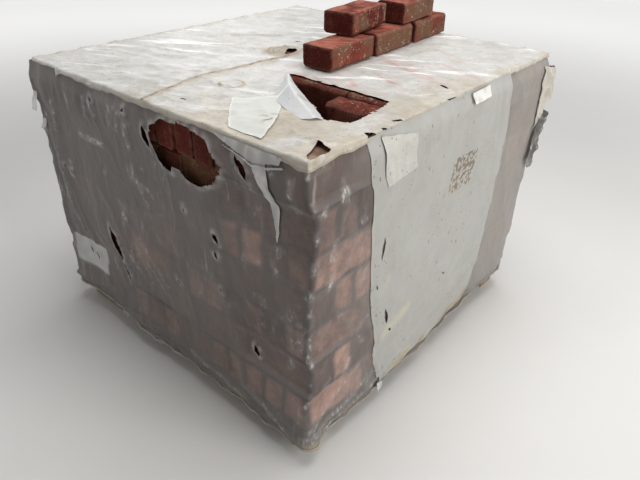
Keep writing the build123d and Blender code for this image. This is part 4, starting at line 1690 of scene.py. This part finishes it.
@dataclass
class Scrap:
    """A small loose piece on the film: a strip, tab, label or torn fold.

    Its places are lengths round the pack, counted from its start, and heights.
    """

    name: str
    outline: Points
    start: float = 0.0
    cloth: Cloth = Cloth.FILM
    lift: float = 0.003
    curl: float = 0.0
    curl_from: Point = (0.0, 0.0)
    curl_way: Point = (0.0, -1.0)
    curl_run: float = 0.05
    crumple: float = 0.0
    white: float = 0.6
    haze: float = 0.6
    dirt: float = 0.1
    step: float = 0.004
    fray: float = 0.002
    flat: Optional[Point] = None
    least_area: float = 0.3

    def surface(self, film: FilmWrap, a: float, z: float) -> Spot:
        """Place a point of the scrap over the film.

        Args:
            film: the film under it.
            a: the length round the pack.
            z: the height.

        Returns:
            The point and its values.
        """
        along = a - (self.start + self.curl_from[0])
        beyond = along * self.curl_way[0] + (z - self.curl_from[1]) * self.curl_way[1]
        rise = self.lift + self.curl * ramp(beyond, 0.0, self.curl_run)
        ridge = crease(a * 1.2, z * 0.7, 24.0, 71.0, 3.0)
        small = crease(a, z, 55.0, 73.0, 2.0)
        rough = 0.6 + 0.8 * max(0.0, ripple(a, z, 9.0, 72.0))
        rise += self.crumple * (0.7 * ridge + 0.35 * small) * rough
        # Painted highlights on the crumple ridges: a whiter colour and bright strokes.
        white = min(1.0, self.white * (0.65 + 0.5 * ridge))
        scuff = 30.0 * self.crumple * ramp(ridge, 0.55, 0.85)
        return Spot(film.skin(a, z, rise), {
            "haze": self.haze, "white": white, "dirt": self.dirt, "scuff": scuff,
            "smear": 0.0, "stain": 0.0, "touch": 0.0, "tone": 0.5,
        })

    def build(self, film: FilmWrap, material: Material) -> Piece:
        """Make the scrap.

        Args:
            film: the film under it.
            material: its finish.

        Returns:
            The scrap's object.
        """
        edge = [(self.start + a, z) for a, z in self.outline]
        outline = frayed(edge, 0.010, self.fray, 9.0) if self.fray else Outline(edge)
        piece = cut_piece(self.name, outline, self.step, partial(self.surface, film))
        dress(piece, material)
        area = sum(face.area for face in piece.data.polygons)
        flat = self.flat or outline.size
        share = min(1.0, max(self.least_area, area / (flat[0] * flat[1])))
        share * flat[0] * flat[1]
        return piece


@dataclass
class Scraps:
    """The small loose pieces on the film: on the top edge, the back edge and the hem."""

    film: FilmWrap
    film_material: Material
    rag_places: Points = ((-0.262, 0.072), (-0.145, 0.070), (-0.072, 0.068))
    rag_outline: Points = ((-0.022, 0.0), (0.026, 0.0), (0.010, -0.028), (-0.004, -0.032))
    fold_line: Point = (-0.040, 0.0)

    @property
    def right(self) -> float:
        """The middle of the right side, by length round the pack."""
        return self.film.stops[2] + self.film.depth / 2 - self.film.corner

    def upper(self) -> list[Scrap]:
        """List the label, strips, flap and tabs near the top edge.

        Returns:
            The pieces, not yet made.
        """
        return [
            Scrap(
                "paper_label", ((0.066, 0.801), (0.160, 0.801), (0.158, 0.829), (0.062, 0.828)), self.right,
                Cloth.PAPER, lift=0.011, white=1.0, haze=1.0, fray=0.0, step=0.006,
            ),
            Scrap(
                "pointed_film_strip",
                ((0.388, 0.806), (0.432, 0.806), (0.446, 0.700), (0.440, 0.620), (0.420, 0.705)), white=0.85,
            ),
            Scrap(
                "film_strand",
                ((0.296, 0.814), (0.357, 0.803), (0.397, 0.796), (0.442, 0.801), (0.483, 0.812),
                 (0.483, 0.808), (0.442, 0.796), (0.397, 0.791), (0.357, 0.799)),
                lift=0.007, white=0.9, step=0.0025, fray=0.0, flat=(0.192, 0.010),
            ),
            Scrap(
                "front_edge_strip",
                ((0.262, 0.831), (0.380, 0.831), (0.480, 0.831), (0.470, 0.812), (0.378, 0.797)),
                lift=0.004, white=0.8, crumple=0.002,
            ),
            Scrap(
                "light_side_flap", ((-0.334, 0.826), (-0.200, 0.800), (-0.196, 0.712), (-0.322, 0.704)),
                self.right, Cloth.LIGHT, lift=0.0065, white=0.82, crumple=0.0005,
            ),
            Scrap(
                "left_tab_upper", ((-0.524, 0.752), (-0.512, 0.752), (-0.506, 0.700), (-0.528, 0.706)),
                lift=0.002, curl=0.026, curl_from=(0.0, 0.750), white=0.9, step=0.003, fray=0.0,
            ),
            Scrap(
                "left_tab_lower", ((-0.522, 0.674), (-0.510, 0.672), (-0.508, 0.648), (-0.526, 0.644)),
                lift=0.002, curl=0.020, curl_from=(0.0, 0.672), white=0.8, step=0.003, fray=0.0,
            ),
        ]

    def back_edge(self) -> list[Scrap]:
        """List the two torn folds on the right back edge.

        Returns:
            The pieces, not yet made.
        """
        return [
            Scrap(
                "crumpled_back_edge",
                ((-0.030, 0.640), (0.028, 0.650), (0.034, 0.560), (0.018, 0.490), (-0.020, 0.470),
                 (-0.046, 0.510)),
                self.film.stops[3], Cloth.DARK, lift=0.002, curl=0.012, curl_from=self.fold_line,
                curl_way=(1.0, 0.0), crumple=0.018, white=0.10, haze=0.3, dirt=0.2, fray=0.006,
            ),
            Scrap(
                "ragged_back_flap",
                ((-0.040, 0.806), (0.006, 0.796), (0.034, 0.742), (0.012, 0.716), (0.018, 0.690),
                 (-0.006, 0.700), (-0.020, 0.640), (-0.046, 0.600), (-0.050, 0.700)),
                self.film.stops[3], lift=0.002, curl=0.022, curl_from=self.fold_line, curl_way=(1.0, 0.0),
                curl_run=0.07, crumple=0.006, white=0.88, dirt=0.72, fray=0.003,
            ),
        ]

    def hem(self) -> list[Scrap]:
        """List the rags on the front's hem and the white tag on the right's.

        Returns:
            The pieces, not yet made.
        """
        rags = [
            Scrap(
                f"hem_rag_{index + 1}", [(middle + across, top + up) for across, up in self.rag_outline],
                lift=0.002, white=0.3, dirt=0.4,
            )
            for index, (middle, top) in enumerate(self.rag_places)
        ]
        tag = ((-0.272, 0.078), (-0.246, 0.072), (-0.250, 0.044), (-0.262, 0.036))
        return [*rags, Scrap("white_hem_tag", tag, self.right, lift=0.005, crumple=0.003, white=0.9)]

    def build(self) -> list[Piece]:
        """Make every piece.

        Returns:
            The pieces' objects.
        """
        light = SheetFinish(
            "light_flap_film", clean=(0.50, 0.49, 0.45), dull=(0.43, 0.42, 0.39), crease_depth=0.0008,
            unevenness=0.5, lines=0.1,
        )
        dark = FilmFinish(
            "crumpled_film", haze=(0.040, 0.037, 0.034), thick=(0.14, 0.13, 0.12), crease_depth=0.006
        )
        materials = {
            Cloth.FILM: self.film_material, Cloth.PAPER: PaperFinish().build(), Cloth.LIGHT: light.build(),
            Cloth.DARK: dark.build(),
        }
        scraps = [*self.upper(), *self.back_edge(), *self.hem()]
        return [scrap.build(self.film, materials[scrap.cloth]) for scrap in scraps]


@dataclass
class WornBricks:
    """Bricks with rough, chipped clay faces, each set where the frame has one."""

    length: float = 0.210
    width: float = 0.1025
    thickness: float = 0.065
    bevel: float = 0.0078
    arris: float = 0.0014
    voxel: float = 0.0030
    rough: float = 0.0022
    chip: float = 0.0045
    displaced: float = 0.003
    middle_level: float = 0.62
    light_share: float = 0.13
    kinds: int = 5

    @staticmethod
    def pattern(name: str, kind: str, size: float) -> bpy.types.Texture:
        """Make a procedural pattern that displaces faces.

        Args:
            name: the pattern's name.
            kind: one of Blender's texture types.
            size: the size of its cells.

        Returns:
            The pattern.
        """
        pattern = bpy.data.textures.new(name, kind)
        pattern.noise_scale = size
        return pattern

    def prototype(self, seed: int, share: float) -> bpy.types.Mesh:
        """Make one worn brick, centred, its length along Y and its worn bed face down.

        Args:
            seed: picks its chips.
            share: how much of its mesh is kept.

        Returns:
            The brick's mesh.
        """
        bpy.ops.object.select_all(action="DESELECT")
        bpy.ops.mesh.primitive_cube_add(size=1.0, location=(0, 0, 0))
        brick = bpy.context.object
        bpy.ops.object.mode_set(mode="EDIT")
        sizes = (self.width, self.length, self.thickness)
        bpy.ops.transform.resize(value=[size - self.displaced for size in sizes])
        bpy.ops.mesh.select_all(action="DESELECT")
        edit = bmesh.from_edit_mesh(brick.data)
        for edge in edit.edges:
            one, other = (vertex.co for vertex in edge.verts)
            edge.select_set(one.z < 0 and other.z < 0 and abs(one.x - other.x) < 0.01)
        bmesh.update_edit_mesh(brick.data)
        bpy.ops.mesh.bevel(offset=self.bevel, segments=1)
        bpy.ops.object.mode_set(mode="OBJECT")
        bevel = brick.modifiers.new("arris", "BEVEL")
        bevel.width = self.arris
        bevel.segments = 2
        grid = brick.modifiers.new("grid", "REMESH")
        grid.mode = "VOXEL"
        grid.voxel_size = self.voxel
        for name, kind, size, strength in (
            (f"clay_{seed}", "CLOUDS", 0.022, self.rough),
            (f"chips_{seed}", "STUCCI", 0.045 + 0.006 * seed, self.chip * 0.55),
        ):
            displace = brick.modifiers.new(name, "DISPLACE")
            displace.texture = self.pattern(name, kind, size)
            displace.texture_coords = "OBJECT"
            displace.texture_coords_object = self.anchor(seed)
            displace.strength = strength
            displace.mid_level = self.middle_level
        if share < 1:
            thin = brick.modifiers.new("thin", "DECIMATE")
            thin.ratio = share
        for modifier in [m.name for m in brick.modifiers]:
            bpy.ops.object.modifier_apply(modifier=modifier)
        mesh = brick.data
        bpy.data.objects.remove(brick)
        return mesh

    def marks(self, mesh: bpy.types.Mesh) -> dict[str, list[float]]:
        """Find how far each point of a brick lies on an end, a long side or an edge.

        Args:
            mesh: the brick's mesh.

        Returns:
            For each of the three, a value from 0 to 1 for each point.
        """
        marks: dict[str, list[float]] = {"end": [], "side": [], "edge": []}
        for vertex in mesh.vertices:
            near = [
                ramp(half - abs(value), 0.010, 0.0045)
                for value, half in zip(vertex.co, (self.width / 2, self.length / 2, self.thickness / 2))
            ]
            marks["end"].append(near[1])
            marks["side"].append(near[0] * (1 - near[1]))
            marks["edge"].append(sorted(near)[1])
        return marks

    def anchor(self, seed: int) -> Piece:
        """Find or make the empty that shifts the patterns for one kind of brick.

        Args:
            seed: the kind of brick.

        Returns:
            The empty, which tidy removes again.
        """
        name = f"pattern_anchor_{seed}"
        if name not in bpy.data.objects:
            anchor = bpy.data.objects.new(name, None)
            anchor.location = (0.31 * seed, 0.17 * seed, 0.23 * seed)
            bpy.context.scene.collection.objects.link(anchor)
            bpy.context.view_layer.update()
        return bpy.data.objects[name]

    def tidy(self) -> None:
        """Remove the patterns' anchors."""
        for anchor in [o for o in bpy.data.objects if o.name.startswith("pattern_anchor_")]:
            bpy.data.objects.remove(anchor)

    def places(self, node: str) -> list[Matrix]:
        """Find where each brick of a node lies.

        Args:
            node: the node's name.

        Returns:
            For each brick, its middle and turn, with its worn face downward in its own frame.
        """
        mesh = bmesh.new()
        mesh.from_mesh(bpy.data.objects[node].data)
        bmesh.ops.remove_doubles(mesh, verts=mesh.verts, dist=1e-6)
        places: list[Matrix] = []
        left = set(mesh.verts)
        while left:
            group, ahead = set(), [min(left, key=lambda vertex: vertex.index)]
            while ahead:
                vertex = ahead.pop()
                if vertex in group:
                    continue
                group.add(vertex)
                ahead += [edge.other_vert(vertex) for edge in vertex.link_edges]
            left -= group
            places.append(self.place(group))
        mesh.free()
        return places

    def place(self, group: set[bmesh.types.BMVert]) -> Matrix:
        """Find the place of one brick.

        Args:
            group: its corner points.

        Returns:
            Its middle and turn.
        """
        points = [vertex.co.copy() for vertex in group]
        edges = {edge for vertex in group for edge in vertex.link_edges}
        runs = [(edge.verts[1].co - edge.verts[0].co) for edge in edges]
        ahead = min(runs, key=lambda run: abs(run.length - self.length)).normalized()
        across = Vector((-ahead.y, ahead.x, 0.0))
        up = Vector((0.0, 0.0, 1.0))
        middle = Vector((0.0, 0.0, 0.0))
        extents = []
        for axis in (ahead, across, up):
            reach = [point.dot(axis) for point in points]
            middle += axis * (min(reach) + max(reach)) / 2
            extents.append(max(reach) - min(reach))
        thin = across if extents[1] < extents[2] else up
        lean = sum((point - middle).dot(thin) for point in points)
        raised = thin if lean < 0 else -thin
        side = ahead.cross(raised)
        turn = Matrix((side, ahead, raised)).transposed().to_4x4()
        return Matrix.Translation(middle) @ turn

    def build(self, node: str, material: Material, fine: bool, end: float) -> Piece:
        """Replace a node of bricks with worn ones.

        Args:
            node: the node's name.
            material: the clay.
            fine: whether the full mesh is kept.
            end: how dark the bricks' ends are, from 0 to 1.

        Returns:
            The bricks as one object.
        """
        places = self.places(node)
        count = 1 if fine else self.kinds
        first = int(node[-1]) if fine else 0
        kinds = [self.prototype(first + index, 1.0 if fine else self.light_share) for index in range(count)]
        kind_marks = [self.marks(kind) for kind in kinds]
        joined = bmesh.new()
        values: dict[str, list[float]] = {"tone": [], "end": [], "side": [], "edge": []}
        for index, place in enumerate(places):
            copy = kinds[(index * 3) % count].copy()
            copy.transform(place)
            joined.from_mesh(copy)
            shade = 0.5 + 0.5 * noise.noise(Vector((index * 1.37 + first, 0.4 * first, 2.2)))
            values["tone"] += [shade] * len(copy.vertices)
            for key, marks in kind_marks[(index * 3) % count].items():
                values[key] += [end * mark for mark in marks] if key == "end" else marks
            bpy.data.meshes.remove(copy)
        mesh = bpy.data.meshes.new(f"worn_{node}")
        joined.to_mesh(mesh)
        joined.free()
        for key, numbers in values.items():
            mesh.attributes.new(key, "FLOAT", "POINT").data.foreach_set("value", numbers)
        mesh.polygons.foreach_set("use_smooth", [True] * len(mesh.polygons))
        piece = bpy.data.objects.new(f"worn_{node}", mesh)
        bpy.context.scene.collection.objects.link(piece)
        dress(piece, material)
        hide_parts(node)
        return piece


@dataclass
class Studio:
    """Floor, lights and the camera at the photograph's angle."""

    focal_pixels: float = 580.3
    frame_width: float = 640.0
    azimuth: float = 40.29
    pitch: float = 32.148
    roll: float = 0.993
    place: Triple = (1.1842, -1.3004, 1.2909)
    floor_colour: Colour = (0.74, 0.73, 0.71)
    floor_size: float = 14.0
    lit: Triple = (0.0, 0.0, 0.45)
    lamps: Sequence[tuple[str, Triple, float, float, Colour]] = (
        ("window", (3.5, 0.2, 1.8), 2.2, 76.0, (1.0, 0.98, 0.95)),
        ("overhead", (0.2, 0.5, 3.4), 2.6, 84.0, (1.0, 1.0, 1.0)),
        ("back window", (-3.8, 2.9, 2.1), 1.3, 8.0, (1.0, 1.0, 1.0)),
        ("fill", (-2.0, -3.0, 1.6), 2.4, 9.0, (1.0, 0.98, 0.95)),
    )

    def camera(self) -> None:
        """Set the camera from the fitted angles."""
        turn, tilt, lean = (math.radians(angle) for angle in (self.azimuth, self.pitch, self.roll))
        ahead = Vector((-math.sin(turn) * math.cos(tilt), math.cos(turn) * math.cos(tilt), -math.sin(tilt)))
        right = ahead.cross(Vector((0, 0, 1))).normalized()
        up = right.cross(ahead)
        leaned = right * math.cos(lean) + up * math.sin(lean)
        upright = up * math.cos(lean) - right * math.sin(lean)
        data = bpy.data.cameras.new("camera")
        data.sensor_width = 36.0
        data.lens = self.focal_pixels * data.sensor_width / self.frame_width
        data.clip_start = 0.05
        camera = bpy.data.objects.new("camera", data)
        basis = Matrix((leaned, upright, -ahead)).transposed().to_4x4()
        camera.matrix_world = Matrix.Translation(self.place) @ basis
        bpy.context.scene.collection.objects.link(camera)
        bpy.context.scene.camera = camera

    def floor(self) -> None:
        """Lay the pale floor, which glows more and more from 1.5 m to 5.5 m out from the middle and so fades
        into the backdrop.
        """
        bpy.ops.object.select_all(action="DESELECT")
        bpy.ops.mesh.primitive_plane_add(size=self.floor_size, location=(0, 0, 0))
        floor = bpy.context.object
        floor.name = "floor"
        graph = Graph("floor")
        cloud = graph.noise(1.3, 5)
        graph.colour = graph.mix(graph.step(cloud, 0.35, 0.7) * 0.35, self.floor_colour, (0.68, 0.67, 0.65))
        away = graph.node("ShaderNodeVectorMath", {"operation": "LENGTH"}, {0: graph.place}).outputs["Value"]
        glow = graph.mix(graph.step(Wire(graph, away), 1.5, 5.5), (0.0, 0.0, 0.0), (0.62, 0.62, 0.61))
        material = graph.finish(Roughness=0.8 + cloud * 0.1, Emission_Color=glow, Emission_Strength=1.0)
        floor.data.materials.append(material)

    def light(self, name: str, place: Triple, size: float, power: float, colour: Colour) -> None:
        """Hang one square soft light that faces the pack's middle.

        Args:
            name: the light's name.
            place: where it hangs.
            size: its width.
            power: in watts.
            colour: its colour.
        """
        data = bpy.data.lights.new(name, "AREA")
        data.size = size
        data.energy = power
        data.color = colour
        lamp = bpy.data.objects.new(name, data)
        lamp.location = place
        lamp.rotation_euler = (Vector(self.lit) - Vector(place)).to_track_quat("-Z", "Y").to_euler()
        bpy.context.scene.collection.objects.link(lamp)

    def surroundings(self) -> None:
        """Give a soft surrounding light behind a plain pale background."""
        world = bpy.data.worlds.new("studio")
        world.use_nodes = True
        tree = world.node_tree
        shown = tree.nodes["Background"]
        shown.inputs["Color"].default_value = (0.86, 0.86, 0.85, 1)
        glow = tree.nodes.new("ShaderNodeBackground")
        glow.inputs["Color"].default_value = (0.97, 0.98, 1.0, 1)
        glow.inputs["Strength"].default_value = 0.21
        path = tree.nodes.new("ShaderNodeLightPath")
        mixer = tree.nodes.new("ShaderNodeMixShader")
        seen = path.outputs["Is Camera Ray"]
        for kind in ("Is Glossy Ray", "Is Transmission Ray"):
            either = tree.nodes.new("ShaderNodeMath")
            either.operation = "MAXIMUM"
            tree.links.new(seen, either.inputs[0])
            tree.links.new(path.outputs[kind], either.inputs[1])
            seen = either.outputs[0]
        tree.links.new(seen, mixer.inputs[0])
        tree.links.new(glow.outputs[0], mixer.inputs[1])
        tree.links.new(shown.outputs[0], mixer.inputs[2])
        tree.links.new(mixer.outputs[0], tree.nodes["World Output"].inputs[0])
        bpy.context.scene.world = world

    def build(self) -> None:
        """Set the whole studio."""
        self.camera()
        self.floor()
        self.surroundings()
        for lamp in self.lamps:
            self.light(*lamp)
        bpy.context.scene.view_settings.view_transform = "Standard"


def dress_frame(frame: dict[str, Any]) -> None:
    """Give the pallet and the courses their finishes.
    """
    crossed = (0.211, 0.0708, 0.1028)
    timber_across = TimberFinish("bearer_timber", (0.12, 1.0, 1.0)).build()
    timber_deep = TimberFinish("deck_timber", (1.0, 0.12, 1.0)).build()
    clay_deep = ClayFinish("clay_deep_courses", Tone.CELLS).build()
    clay_across = ClayFinish("clay_cross_courses", Tone.CELLS, crossed).build()
    clay_olive = ClayFinish(
        "clay_olive_course", Tone.CELLS, crossed, plain=(0.165, 0.088, 0.046), pale=(0.30, 0.19, 0.11)
    ).build()
    for name in frame["nodes"]:
        if name.startswith("pallet"):
            finish = timber_across
        elif name.startswith("deck"):
            finish = timber_deep
        elif name == "course_6":
            finish = clay_olive
        elif name.startswith("course"):
            finish = clay_deep if int(name[7]) % 2 else clay_across
        else:
            continue
        for slot in bpy.data.objects[name].material_slots:
            slot.material = finish
        LOG.info("%s has %s", name, finish.name)


def main() -> None:
    """Build every piece on the frame and report it."""
    logging.basicConfig(level=logging.INFO, format="%(name)s: %(message)s")
    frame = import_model()
    Studio().build()
    dress_frame(frame)
    pack = Pack()
    film = FilmWrap(pack, FilmFinish("milky_film"))
    top = TopSheet(pack, SheetFinish(
        "white_top_film", clean=(0.545, 0.535, 0.510), dull=(0.395, 0.373, 0.335), glint_streaks=0.85, gloss=0.30
    ))
    side = SideSheet(film, SheetFinish(
        "white_side_film", clean=(0.385, 0.382, 0.360), dull=(0.318, 0.311, 0.290), worn=(0.50, 0.50, 0.48),
        crease_depth=0.0010, crease_scale=7.0, unevenness=0.5, lines=0.1,
    ))
    turned = TurnedFlap(pack, FilmFinish(
        "folded_film", haze=(0.42, 0.43, 0.44), thick=(0.52, 0.53, 0.54), pale=(0.84, 0.85, 0.84),
        least=0.62, most=0.9,
    ))
    lying = LyingFlap(top, FilmFinish("lying_film", pale=(0.72, 0.73, 0.68), crease_depth=0.0012))
    pieces = [piece.build() for piece in (film, top, side, turned, lying)]
    pieces += Scraps(film, pieces[0].data.materials[0]).build()
    bricks = WornBricks()
    clay_worn = ClayFinish("clay_worn", Tone.POINTS).build()
    pieces.append(bricks.build("course_7", clay_worn, False, 0.50))
    for number in range(1, 6):
        pieces.append(bricks.build(f"loose_brick_{number}", clay_worn, True, 1.0))
    bricks.tidy()
    for piece in pieces:
        LOG.info("%s: %d faces", piece.name, len(piece.data.polygons))


if __name__ == "__main__":
    main()
